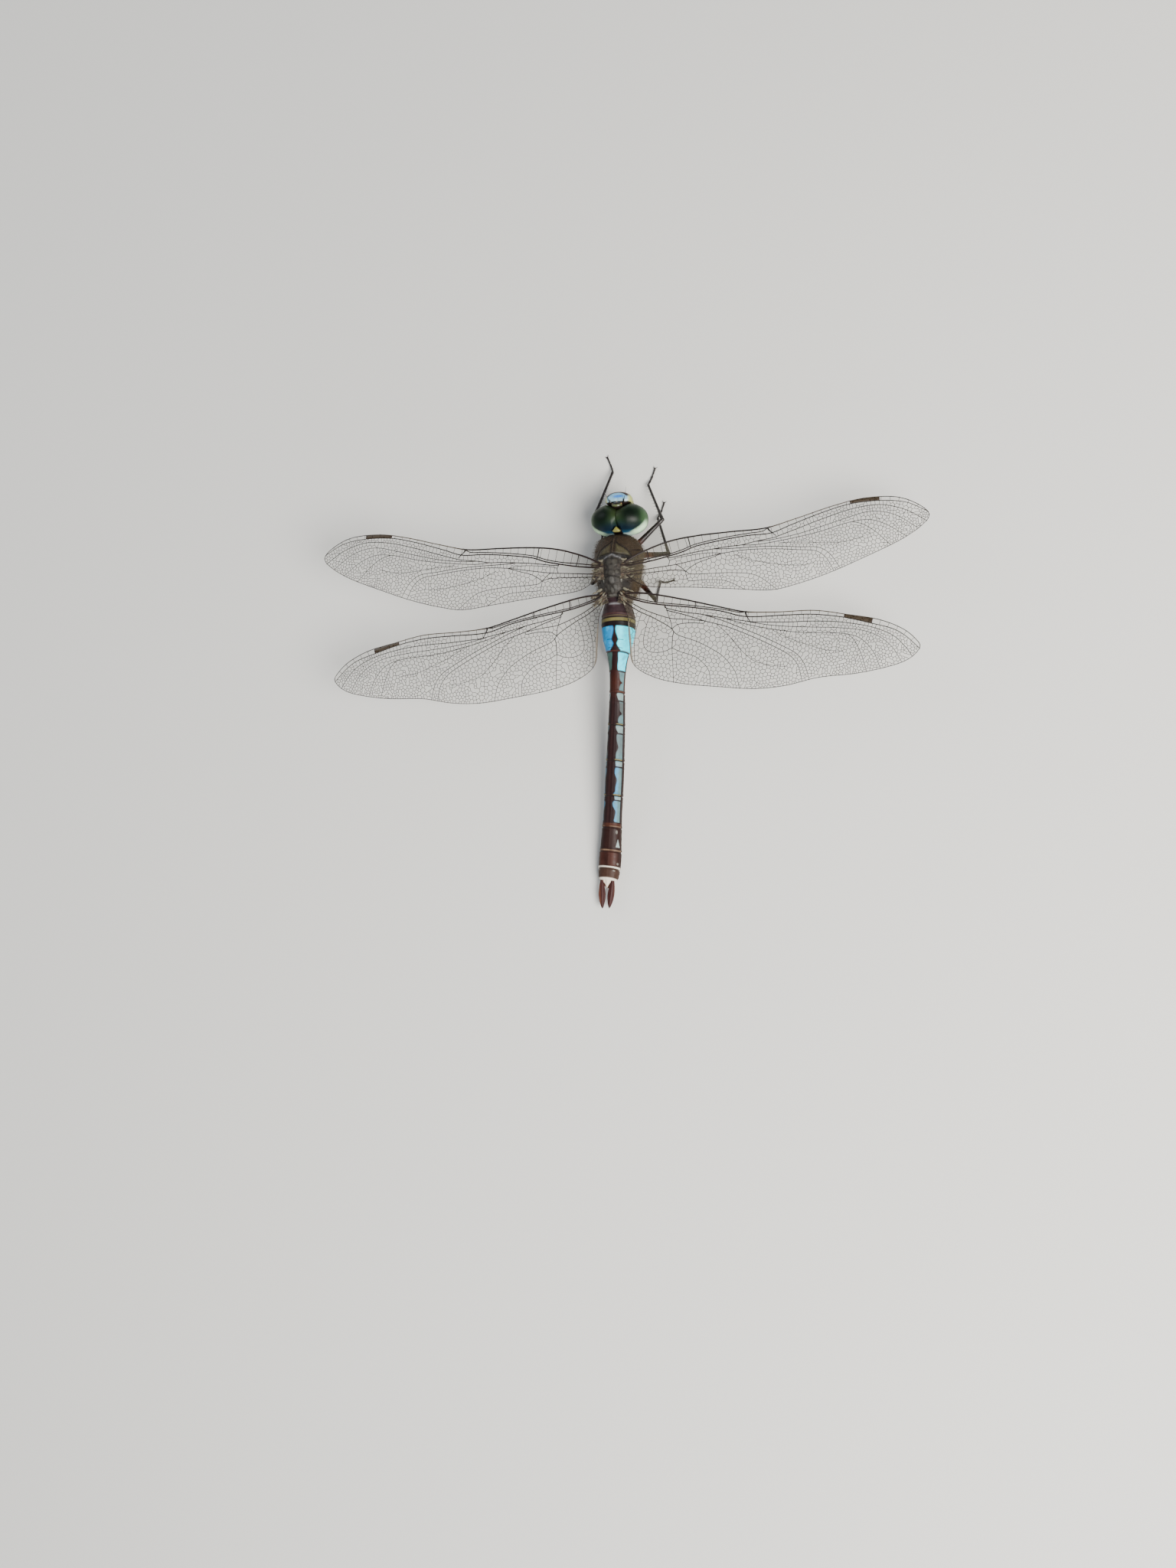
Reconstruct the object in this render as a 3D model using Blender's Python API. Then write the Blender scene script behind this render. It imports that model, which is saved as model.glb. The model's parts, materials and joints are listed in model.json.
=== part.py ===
"""A male Lesser Emperor dragonfly, Anax parthenope, resting flat with its wings spread.

Life size. Blender works in metres, and the sizes below are in millimetres, turned into metres by MM.
The head points along -Y, the tail along +Y, the animal's left is +X, and its feet and the end of its
abdomen stand on the plane z = 0. Inside this file x = 0, y = 0 is the middle of the back between the
wing bases. At the end the whole animal is moved so that the origin is under the middle of its box.
"""

import math

import bmesh
import bpy
from mathutils import Vector

MM = 0.001
GAP = 0.25  # clearance that every piece keeps to the next one

# Wings: plates of the thinnest section that a solid model keeps.
WING_THICKNESS = 0.5
WING_EDGE_STEPS = 26
FOREWING_LENGTH = 51.3
HINDWING_LENGTH = 50.2
FOREWING_ROOT = (1.7, -2.4, 12.0)
HINDWING_ROOT = (1.9, 2.75, 11.8)
# Angles in degrees: backward in plan, and downward towards the tip.
FOREWING_SWEEP = {"left": -5.4, "right": -6.2}
HINDWING_SWEEP = {"left": 14.1, "right": 13.1}
WING_DROOP = {"left": 0.6, "right": 3.2}

# Abdomen: it slopes down to the ground behind the legs and bends a little to the left.
ABDOMEN_END = 50.3
# (distance along the body, height of the axis): the last segments lie on the ground.
ABDOMEN_AXIS = ((3.6, 8.5), (12.0, 7.45), (24.0, 5.45), (36.0, 3.4), (43.5, 2.0), (47.5, 1.33),
                (50.3, 1.15))
ABDOMEN_LEAN_START = 8.0
ABDOMEN_LEAN = 0.0895
ABDOMEN_BOW = 0.35
SEGMENT_ENDS = (3.6, 5.8, 12.0, 18.9, 24.6, 30.5, 36.5, 41.9, 45.8, 48.7, 50.3)
# (distance along the body, full width) and (distance, full height): swollen base, waist, broad end.
ABDOMEN_WIDTHS = ((3.6, 4.3), (5.8, 5.5), (7.5, 5.8), (10.0, 5.2), (13.2, 3.4), (16.9, 2.6),
                  (24.0, 2.8), (33.0, 3.15), (39.0, 3.15), (43.4, 3.45), (47.3, 3.8), (50.3, 3.3))
ABDOMEN_HEIGHTS = ((3.6, 4.9), (7.5, 5.7), (10.0, 5.2), (13.2, 3.7), (16.9, 3.0), (24.0, 2.8),
                   (39.0, 2.7), (47.3, 2.8), (50.3, 2.6))
ABDOMEN_SIDES = 16
TAIL_PLATE_THICKNESS = 0.54
CERCUS_SPREAD = 0.92  # from the body's middle to a clasper's root
CERCUS_CLOSING = 0.05  # how much nearer the clasper comes for each millimetre of its length

# Thorax: stations of (y, half width, underside, top, how much the roof narrows).
THORAX_STATIONS = (
    (-7.9, 1.7, 8.0, 9.4, 0.0),
    (-7.3, 2.9, 6.9, 10.4, 0.1),
    (-6.3, 3.8, 4.4, 11.3, 0.2),
    (-5.0, 4.15, 3.4, 12.0, 0.3),
    (-3.2, 4.1, 3.1, 12.7, 0.4),
    (-1.2, 3.8, 3.2, 12.9, 0.45),
    (0.8, 3.5, 3.6, 12.7, 0.4),
    (2.2, 3.1, 4.4, 12.2, 0.3),
    (3.3, 2.5, 5.6, 11.4, 0.2),
)
THORAX_SIDES = 20

# Head: two eyes that meet on the crown over a small face.
EYE_CENTRE = (0.0, -11.1, 7.1)
HEAD_HALF_WIDTH = 4.95
EYE_HALF_LENGTH = 2.85
EYE_HALF_HEIGHT = 3.4
EYE_NOTCH_REACH = 0.4  # share of the half width over which an eye narrows towards the crown
EYE_NOTCH_LENGTH = 0.42
EYE_NOTCH_HEIGHT = 0.12
EYE_RINGS = 8
EYE_SIDES = 20

# Legs: hip, knee, ankle, ball of the foot and claw, each (x, y, z).
LEG_JOINTS = {
    "leg_fore_right": ((-1.5, -6.4, 4.4), (-7.0, -11.2, 5.0), (-3.5, -18.8, 0.9), (-3.9, -19.9, 0.2),
                       (-4.6, -21.9, 0.2)),
    "leg_fore_left": ((1.5, -6.4, 4.4), (5.2, -13.0, 4.4), (2.9, -21.6, 0.9), (3.3, -22.7, 0.2),
                      (4.1, -24.6, 0.2)),
    "leg_middle_right": ((-1.9, -5.4, 4.1), (-8.2, -5.0, 5.5), (-5.2, -12.7, 0.9), (-5.6, -13.7, 0.2),
                         (-6.2, -15.6, 0.2)),
    "leg_middle_left": ((2.3, -4.2, 3.1), (5.2, -0.6, 6.0), (5.3, -7.6, 0.9), (5.2, -8.7, 0.2),
                        (5.0, -10.6, 0.2)),
    "leg_hind_right": ((-2.0, -1.6, 3.7), (-6.3, 3.35, 7.0), (-5.6, -1.4, 0.9), (-6.3, -1.2, 0.2),
                       (-8.0, -1.6, 0.2)),
    "leg_hind_left": ((2.0, -1.6, 3.6), (3.4, 5.5, 4.2), (2.9, 12.9, 0.9), (2.85, 14.0, 0.2),
                      (2.8, 16.1, 0.2)),
}
FEMUR_RADII = (0.5, 0.52, 0.36)
TIBIA_RADII = (0.34, 0.28, 0.26)
TARSUS_RADIUS = 0.26
LEG_OVERRUN = 0.4
LEG_SIDES = 8

# Colours (red, green, blue), roughness and metallic value of each kind of surface.
FINISHES = {
    "eye": ((0.010, 0.060, 0.045), 0.12, 0.0),
    "face": ((0.42, 0.55, 0.42), 0.35, 0.0),
    "head": ((0.03, 0.02, 0.015), 0.4, 0.0),
    "jaws": ((0.30, 0.24, 0.09), 0.4, 0.0),
    "thorax": ((0.10, 0.075, 0.05), 0.55, 0.0),
    "wing": ((0.55, 0.52, 0.42), 0.2, 0.0),
    "saddle": ((0.12, 0.45, 0.75), 0.4, 0.0),
    "abdomen_base": ((0.10, 0.045, 0.04), 0.4, 0.0),
    "abdomen": ((0.11, 0.055, 0.04), 0.35, 0.0),
    "cercus": ((0.12, 0.045, 0.03), 0.35, 0.0),
    "leg": ((0.015, 0.011, 0.010), 0.35, 0.0),
}


def reset():
    for old in list(bpy.data.objects):
        bpy.data.objects.remove(old, do_unlink=True)


def collection(name):
    group = bpy.data.collections.new(name)
    bpy.context.scene.collection.children.link(group)
    return group


def finish(kind):
    colour, roughness, metallic = FINISHES[kind]
    material = bpy.data.materials.get(kind) or bpy.data.materials.new(kind)
    material.use_nodes = True
    shader = material.node_tree.nodes["Principled BSDF"]
    shader.inputs["Base Color"].default_value = (*colour, 1.0)
    shader.inputs["Roughness"].default_value = roughness
    shader.inputs["Metallic"].default_value = metallic
    return material


def place(name, mesh, kind, group, root):
    """A named part with its finish, hung under the animal's root."""
    part = bpy.data.objects.new(name, mesh)
    part.data.materials.clear()
    part.data.materials.append(finish(kind))
    part.parent = root
    group.objects.link(part)
    return part


def smooth_value(knots, at):
    """A value read from a smooth curve through (position, value) pairs."""
    last = len(knots) - 1
    low = max(i for i in range(last) if knots[i][0] <= at or i == 0)
    before, start, end, after = (knots[min(max(low + k, 0), last)] for k in (-1, 0, 1, 2))
    span = end[0] - start[0]
    share = min(max((at - start[0]) / span, 0.0), 1.0)
    slope_in = (end[1] - before[1]) / (end[0] - before[0]) * span
    slope_out = (after[1] - start[1]) / (after[0] - start[0]) * span
    s2, s3 = share ** 2, share ** 3
    return (start[1] * (2 * s3 - 3 * s2 + 1) + slope_in * (s3 - 2 * s2 + share)
            + end[1] * (3 * s2 - 2 * s3) + slope_out * (s3 - s2))


def smooth_path(points, steps):
    """Evenly shared steps along a Catmull-Rom curve through 2D or 3D points."""
    chain = [points[0], *points, points[-1]]
    path = []
    for i in range(steps + 1):
        at = i / steps * (len(points) - 1)
        low = min(int(at), len(points) - 2)
        t = at - low
        p0, p1, p2, p3 = (Vector(p) for p in chain[low:low + 4])
        path.append(0.5 * (2 * p1 + (p2 - p0) * t + (2 * p0 - 5 * p1 + 4 * p2 - p3) * t ** 2
                           + (3 * p1 - p0 - 3 * p2 + p3) * t ** 3))
    return path


def superellipse(angle, power):
    c, s = math.cos(angle), math.sin(angle)
    return (math.copysign(abs(c) ** (2 / power), c), math.copysign(abs(s) ** (2 / power), s))


def section(centre, along, half_width, half_height, sides, power=2.0):
    """A ring of points round a centre, square to the direction that the body runs in."""
    side = along.cross(Vector((0, 0, 1))).normalized()
    upward = side.cross(along).normalized()
    ring = []
    for i in range(sides):
        across, up = superellipse(math.tau * i / sides, power)
        ring.append(centre + side * across * half_width + upward * up * half_height)
    return ring


def loft(name, rings):
    """A closed mesh through rings of equal count, given in millimetres, with flat ends."""
    work = bmesh.new()
    rows = [[work.verts.new(Vector(p) * MM) for p in ring] for ring in rings]
    for lower, upper in zip(rows, rows[1:]):
        for i in range(len(lower)):
            j = (i + 1) % len(lower)
            work.faces.new((lower[i], lower[j], upper[j], upper[i]))
    work.faces.new(rows[0])
    work.faces.new(rows[-1])
    bmesh.ops.recalc_face_normals(work, faces=work.faces)
    mesh = bpy.data.meshes.new(name)
    work.to_mesh(mesh)
    work.free()
    mesh.shade_smooth()
    mesh.set_sharp_from_angle(angle=math.radians(40))
    return mesh


def superellipsoid(name, centre, half_sizes, power=2.0, columns=16, rows=9):
    """A closed egg or rounded block, from a UV sphere whose coordinates are pushed outward."""
    work = bmesh.new()
    bmesh.ops.create_uvsphere(work, u_segments=columns, v_segments=rows, radius=1.0)
    for vert in work.verts:
        length = sum(abs(c) ** power for c in vert.co) ** (1 / power)
        vert.co = Vector(c + n / length * h for c, n, h in zip(centre, vert.co, half_sizes)) * MM
    mesh = bpy.data.meshes.new(name)
    work.to_mesh(mesh)
    work.free()
    mesh.shade_smooth()
    return mesh


def cut_off(mesh, point, outward):
    """Cuts away what lies past a plane, in millimetres, and closes the cut with a flat."""
    work = bmesh.new()
    work.from_mesh(mesh)
    geometry = work.verts[:] + work.edges[:] + work.faces[:]
    cut = bmesh.ops.bisect_plane(work, geom=geometry, dist=1e-7, plane_co=Vector(point) * MM,
                                 plane_no=outward, clear_outer=True)
    rim = [e for e in cut["geom_cut"] if isinstance(e, bmesh.types.BMEdge)]
    bmesh.ops.contextual_create(work, geom=rim)
    bmesh.ops.recalc_face_normals(work, faces=work.faces)
    work.to_mesh(mesh)
    work.free()


def cut_at_floor(mesh):
    """Leaves a small flat to stand on."""
    cut_off(mesh, (0, 0, 0), (0, 0, -1))


def carve(part, neighbours, cutters):
    """Cuts a part back so that it keeps GAP to its neighbours."""
    for neighbour in neighbours:
        name = "cutter_" + neighbour.name
        cutter = bpy.data.objects.get(name)
        if cutter is None:
            cutter = neighbour.copy()
            cutter.name = name
            grow = cutter.modifiers.new("grow", "DISPLACE")
            grow.strength = GAP * MM
            grow.mid_level = 0.0
            cutter.hide_render = True
            cutter.display_type = "WIRE"
            cutters.objects.link(cutter)
        cut = part.modifiers.new("clear_" + neighbour.name, "BOOLEAN")
        cut.operation = "DIFFERENCE"
        cut.object = cutter


def eye_mesh(name, side):
    """Half an egg whose two ends draw in towards the crown, where it meets the other eye."""
    cx, cy, cz = EYE_CENTRE
    rings = []
    for step in range(EYE_RINGS + 1):
        lateral = 0.995 * math.sin(step / EYE_RINGS * math.pi / 2)
        notch = max(0.0, 1 - lateral / EYE_NOTCH_REACH) ** 1.5
        swell = math.sqrt(1 - lateral ** 2)
        length = EYE_HALF_LENGTH * swell * (1 - EYE_NOTCH_LENGTH * notch)
        height = EYE_HALF_HEIGHT * swell * (1 - EYE_NOTCH_HEIGHT * notch)
        x = cx + side * (GAP / 2 + lateral * (HEAD_HALF_WIDTH - GAP / 2))
        angles = [math.tau * i / EYE_SIDES for i in range(EYE_SIDES)]
        rings.append([(x, cy + length * math.cos(a), cz + height * math.sin(a)) for a in angles])
    return loft(name, rings)


def lump(name, centre, half_sizes, power, kind, group, root):
    """A part that is one egg or rounded block."""
    return place(name, superellipsoid(name, centre, half_sizes, power), kind, group, root)


def build_head(group, cutters, root):
    frons = lump("frons", (0, -14.45, 7.9), (2.35, 1.35, 1.2), 2.8, "face", group, root)
    clypeus = lump("clypeus", (0, -14.4, 5.75), (2.1, 1.2, 0.75), 2.8, "face", group, root)
    labrum = lump("labrum", (0, -14.2, 4.15), (1.8, 1.05, 0.65), 2.8, "jaws", group, root)
    head = lump("head", (0, -8.9, 6.9), (1.9, 0.7, 2.6), 2.4, "head", group, root)
    vertex = lump("vertex", (0, -13.0, 8.75), (0.8, 0.6, 0.85), 2.0, "head", group, root)
    jaws = lump("jaws", (0, -11.9, 4.5), (2.6, 2.7, 1.6), 2.4, "jaws", group, root)
    carve(vertex, [frons], cutters)
    carve(jaws, [clypeus, labrum, head], cutters)
    for label, side in (("left", 1), ("right", -1)):
        eye = place("eye_" + label, eye_mesh("eye_" + label, side), "eye", group, root)
        carve(eye, [frons, clypeus, labrum, vertex, head, jaws], cutters)
        build_antenna(label, side, [frons, vertex, eye], group, cutters, root)
    return head


def build_antenna(label, side, neighbours, group, cutters, root):
    """A bristle on a thicker stub, pointing forward, outward and up from beside the crown."""
    start = Vector((side * 1.05, -13.6, 8.7))
    along = Vector((side * 2.1, -15.8, 10.9)) - start
    profile = ((0, 0.34), (0.15, 0.34), (0.3, 0.26), (1, 0.25))
    rings = [section(start + along * share, along, radius, radius, LEG_SIDES) for share, radius in profile]
    antenna = place("antenna_" + label, loft("antenna_" + label, rings), "leg", group, root)
    carve(antenna, neighbours, cutters)


def thorax_ring(station):
    y, half_width, bottom, top, narrowing = station
    middle, half_height = (bottom + top) / 2, (top - bottom) / 2
    ring = []
    for i in range(THORAX_SIDES):
        across, up = superellipse(math.tau * i / THORAX_SIDES, 2.2)
        pinch = 1 - narrowing * max(up, 0.0) ** 2
        ring.append((across * half_width * pinch, y, middle + up * half_height))
    return ring


def build_thorax(head, group, cutters, root):
    """The trunk that bears the wings and legs, the small ring in front of it, and the neck."""
    prothorax = lump("prothorax", (0, -6.5, 6.0), (1.8, 0.8, 1.5), 2.4, "thorax", group, root)
    rings = [section(Vector((0, y, 6.1)), Vector((0, 1, 0)), 0.8, 0.75, 12) for y in (-8.6, -7.2)]
    neck = place("neck", loft("neck", rings), "head", group, root)
    carve(neck, [head, prothorax], cutters)
    rings = [thorax_ring(station) for station in THORAX_STATIONS]
    thorax = place("thorax", loft("thorax", rings), "thorax", group, root)
    carve(thorax, [prothorax], cutters)
    return thorax


def wing_outline(length, front, back):
    """The closed outline of a wing that points along +X, from its edges in shares of its length."""
    leading = smooth_path(front, WING_EDGE_STEPS)
    trailing = smooth_path([front[-1], *back], WING_EDGE_STEPS)[1:]
    return [(length * x, length * y) for x, y in leading + trailing]


def wing_mesh(name, side, length, front, back):
    """A flat plate that points straight out from its root."""
    curve = bpy.data.curves.new(name, "CURVE")
    curve.dimensions = "2D"
    curve.fill_mode = "BOTH"
    curve.extrude = WING_THICKNESS / 2 * MM
    spline = curve.splines.new("POLY")
    outline = wing_outline(length, front, back)
    spline.points.add(len(outline) - 1)
    for point, (x, y) in zip(spline.points, outline):
        point.co = (side * x * MM, y * MM, 0, 1)
    spline.use_cyclic_u = True
    sketch = bpy.data.objects.new(name + "_sketch", curve)
    bpy.context.scene.collection.objects.link(sketch)
    graph = bpy.context.evaluated_depsgraph_get()
    mesh = bpy.data.meshes.new_from_object(sketch.evaluated_get(graph))
    bpy.data.objects.remove(sketch, do_unlink=True)
    work = bmesh.new()
    work.from_mesh(mesh)
    bmesh.ops.remove_doubles(work, verts=work.verts, dist=1e-6)
    bmesh.ops.recalc_face_normals(work, faces=work.faces)
    work.to_mesh(mesh)
    work.free()
    mesh.name = name
    return mesh


# Wing edges from root to tip, as shares of the wing's length: x outward, y back.
FORE_FRONT = ((0.0, 0.0), (0.07, -0.026), (0.16, -0.046), (0.25, -0.050), (0.36, -0.045), (0.48, -0.038),
              (0.58, -0.052), (0.70, -0.073), (0.80, -0.082), (0.90, -0.070), (0.965, -0.037), (1.0, 0.004))
FORE_BACK = ((0.975, 0.037), (0.90, 0.075), (0.78, 0.113), (0.66, 0.146), (0.55, 0.166), (0.47, 0.171),
             (0.36, 0.150), (0.22, 0.122), (0.10, 0.102), (0.05, 0.083), (0.0, 0.038))
HIND_FRONT = ((0.0, 0.0), (0.08, -0.013), (0.20, -0.015), (0.32, -0.012), (0.42, -0.011), (0.52, -0.028),
              (0.64, -0.055), (0.75, -0.061), (0.85, -0.063), (0.93, -0.048), (0.98, -0.022), (1.0, 0.004))
HIND_BACK = ((0.975, 0.046), (0.92, 0.082), (0.82, 0.125), (0.70, 0.162), (0.60, 0.208), (0.50, 0.238),
             (0.38, 0.254), (0.26, 0.266), (0.16, 0.262), (0.085, 0.232), (0.055, 0.160), (0.03, 0.078),
             (0.0, 0.035))


def build_wings(thorax, group, cutters, root):
    for label, side in (("left", 1), ("right", -1)):
        pairs = (("wing_fore_", FOREWING_LENGTH, FORE_FRONT, FORE_BACK, FOREWING_ROOT, FOREWING_SWEEP),
                 ("wing_hind_", HINDWING_LENGTH, HIND_FRONT, HIND_BACK, HINDWING_ROOT, HINDWING_SWEEP))
        for prefix, length, front, back, (x, y, z), sweep in pairs:
            name = prefix + label
            wing = place(name, wing_mesh(name, side, length, front, back), "wing", group, root)
            wing.location = Vector((side * x, y, z)) * MM
            wing.rotation_euler = (0, math.radians(side * WING_DROOP[label]),
                                   math.radians(side * sweep[label]))
            carve(wing, [thorax], cutters)


def abdomen_axis(y):
    """The abdomen's centre line at a distance along the body."""
    beyond = max(0.0, y - ABDOMEN_LEAN_START)
    share = min(1.0, beyond / (ABDOMEN_END - ABDOMEN_LEAN_START))
    x = ABDOMEN_LEAN * beyond - ABDOMEN_BOW * math.sin(math.pi * share)
    return Vector((x, y, smooth_value(ABDOMEN_AXIS, y)))


def abdomen_direction(y):
    return (abdomen_axis(y + 0.5) - abdomen_axis(y - 0.5)).normalized()


def build_abdomen(group, root):
    for number, (front, end) in enumerate(zip(SEGMENT_ENDS, SEGMENT_ENDS[1:]), start=1):
        front, end = front + GAP / 2, end - GAP / 2
        steps = max(3, round((end - front) / 1.7))
        rings = []
        for i in range(steps + 1):
            y = front + (end - front) * i / steps
            rim = 0.96 if i in (0, steps) else 1.0  # each plate rounds in at its two rims
            half_width = rim * smooth_value(ABDOMEN_WIDTHS, y) / 2
            half_height = rim * smooth_value(ABDOMEN_HEIGHTS, y) / 2
            rings.append(section(abdomen_axis(y), abdomen_direction(y), half_width, half_height,
                                 ABDOMEN_SIDES, 2.1))
        name = f"abdomen_{number:02d}"
        mesh = loft(name, rings)
        if number >= 9:
            cut_at_floor(mesh)
        kind = {1: "abdomen_base", 2: "saddle", 3: "saddle"}.get(number, "abdomen")
        place(name, mesh, kind, group, root)


def tail_plate(name, root_point, along, outward, closing, profile, group, root):
    """A thin leaf along the tail's direction, from (distance, half width) pairs."""
    rings = []
    for distance, half_width in profile:
        centre = root_point + along * distance - outward * closing * distance
        rings.append(section(centre, along, half_width, TAIL_PLATE_THICKNESS / 2, LEG_SIDES, 2.3))
    place(name, loft(name, rings), "cercus", group, root)


def build_tail(group, root):
    """The two leaf-shaped claspers and, lower down, the short plate between them."""
    start = abdomen_axis(ABDOMEN_END + GAP / 2)
    along = Vector((0.12, 1.0, -0.04)).normalized()
    leftward = Vector((1, 0, 0))
    leaf = ((0.0, 0.3), (0.8, 0.45), (2.2, 0.62), (3.4, 0.58), (4.3, 0.4), (4.75, 0.25))
    for label, side in (("left", 1), ("right", -1)):
        outward = leftward * side
        foot = start + outward * CERCUS_SPREAD + Vector((0, 0, 0.45))
        tail_plate("cercus_" + label, foot, along, outward, CERCUS_CLOSING, leaf, group, root)
    plate = ((0.0, 0.85), (0.7, 0.75), (1.3, 0.4))
    tail_plate("epiproct", start - Vector((0, 0, 0.55)), along, leftward, 0.0, plate, group, root)


def limb(name, points, radii):
    """A round, tapering length of leg along a bent path."""
    path = [Vector(p) for p in points]
    rings = []
    for i, (point, radius) in enumerate(zip(path, radii)):
        along = (path[min(i + 1, len(path) - 1)] - path[max(i - 1, 0)]).normalized()
        rings.append(section(point, along, radius, radius, LEG_SIDES))
    return loft(name, rings)


def past(start, end):
    """A point a little beyond the end of a straight length, so that a mitre cut has something to trim."""
    return end + (end - start).normalized() * LEG_OVERRUN


def mitre(upper, lower, before, joint, after):
    """Trims two lengths of leg where they meet, on the plane that halves the bend between them."""
    across = ((before - joint).normalized() - (after - joint).normalized()).normalized()
    cut_off(upper, joint + across * GAP / 2, -across)
    cut_off(lower, joint - across * GAP / 2, across)


def build_legs(thorax, group, cutters, root):
    for name, joints in LEG_JOINTS.items():
        hip, knee, ankle, ball, claw = (Vector(j) for j in joints)
        femur = limb(name + "_femur", (hip, hip.lerp(knee, 0.3), past(hip, knee)), FEMUR_RADII)
        shin = (past(ankle, knee), knee.lerp(ankle, 0.5), past(knee, ankle))
        tibia = limb(name + "_tibia", shin, TIBIA_RADII)
        toes = (past(ball, ankle), ball, ball.lerp(claw, 0.5), claw)
        tarsus = limb(name + "_tarsus", toes, (TARSUS_RADIUS,) * 4)
        mitre(femur, tibia, hip, knee, ankle)
        mitre(tibia, tarsus, knee, ankle, ball)
        cut_at_floor(tarsus)
        carve(place(name + "_femur", femur, "leg", group, root), [thorax], cutters)
        place(name + "_tibia", tibia, "leg", group, root)
        place(name + "_tarsus", tarsus, "leg", group, root)


def centre_on_origin(group, root):
    """Moves the animal so that the origin lies under the middle of its box."""
    bpy.context.view_layer.update()
    graph = bpy.context.evaluated_depsgraph_get()
    corners = []
    for part in group.objects:
        if part.type != "MESH":
            continue
        shape = part.evaluated_get(graph)
        corners += [shape.matrix_world @ vert.co for vert in shape.data.vertices]
    middle = [(min(c[axis] for c in corners) + max(c[axis] for c in corners)) / 2 for axis in (0, 1)]
    root.location = (-middle[0], -middle[1], 0.0)
    bpy.context.view_layer.update()


def build():
    reset()
    group = collection("dragonfly")
    cutters = collection("cutters")
    root = bpy.data.objects.new("dragonfly_root", None)
    group.objects.link(root)
    head = build_head(group, cutters, root)
    thorax = build_thorax(head, group, cutters, root)
    build_wings(thorax, group, cutters, root)
    build_abdomen(group, root)
    build_tail(group, root)
    build_legs(thorax, group, cutters, root)
    centre_on_origin(group, root)


build()
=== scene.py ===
"""The looks of a male Lesser Emperor dragonfly, Anax parthenope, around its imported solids.

Sizes are in millimetres and MM turns them into metres. x = 0, y = 0 is the middle of the back between
the wing bases, the head points along -Y, the animal's left is +X and its feet stand on z = 0. ROOT
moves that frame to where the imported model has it. Colours are written as screen values, 0 to 255.
"""

import json
import math
import random

import bmesh
import bpy
import numpy as np
from mathutils import Matrix, Vector

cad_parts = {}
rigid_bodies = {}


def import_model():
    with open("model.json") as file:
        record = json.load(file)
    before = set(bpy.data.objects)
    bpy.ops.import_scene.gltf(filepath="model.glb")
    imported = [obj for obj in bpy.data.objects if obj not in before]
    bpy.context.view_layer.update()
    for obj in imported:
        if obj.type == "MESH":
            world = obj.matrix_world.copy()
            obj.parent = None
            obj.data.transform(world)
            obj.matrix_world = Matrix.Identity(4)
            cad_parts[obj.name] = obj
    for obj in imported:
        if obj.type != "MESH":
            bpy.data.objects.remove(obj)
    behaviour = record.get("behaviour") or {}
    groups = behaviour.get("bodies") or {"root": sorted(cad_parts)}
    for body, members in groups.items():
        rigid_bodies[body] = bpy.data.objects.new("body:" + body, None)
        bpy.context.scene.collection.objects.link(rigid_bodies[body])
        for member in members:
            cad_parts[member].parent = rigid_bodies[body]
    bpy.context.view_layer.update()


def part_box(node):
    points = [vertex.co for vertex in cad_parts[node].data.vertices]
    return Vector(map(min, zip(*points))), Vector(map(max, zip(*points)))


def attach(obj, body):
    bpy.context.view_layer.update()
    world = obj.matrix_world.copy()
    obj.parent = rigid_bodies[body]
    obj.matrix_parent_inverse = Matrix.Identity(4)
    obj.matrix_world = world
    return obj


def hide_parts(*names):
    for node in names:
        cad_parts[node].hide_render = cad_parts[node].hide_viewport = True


MM = 0.001

# The trunk's stations: (y, half width, underside, top, how much the roof narrows).
THORAX_STATIONS = (
    (-7.9, 1.7, 8.0, 9.4, 0.0),
    (-7.3, 2.9, 6.9, 10.4, 0.1),
    (-6.3, 3.8, 4.4, 11.3, 0.2),
    (-5.0, 4.15, 3.4, 12.0, 0.3),
    (-3.2, 4.1, 3.1, 12.7, 0.4),
    (-1.2, 3.8, 3.2, 12.9, 0.45),
    (0.8, 3.5, 3.6, 12.7, 0.4),
    (2.2, 3.1, 4.4, 12.2, 0.3),
    (3.3, 2.5, 5.6, 11.4, 0.2),
)
THORAX_FRONT = THORAX_STATIONS[0][0]
THORAX_END = THORAX_STATIONS[-1][0]
ROOF = 12.88  # nothing on the back stands higher
THORAX_MIDDLE = 7.8  # the height from which its surface swells outward
SHOULDER_LINE = ((0.12, -7.2), (0.35, -6.2), (0.9, -5.65), (1.8, -5.15), (2.5, -4.55), (2.9, -3.9),
                 (3.1, -3.2))  # (distance from the middle, y)
FLANK_SEAMS = ((-5.35, 0.14), (-3.0, 0.34), (-0.75, 0.36))  # y of each at mid height, and its slope

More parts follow.
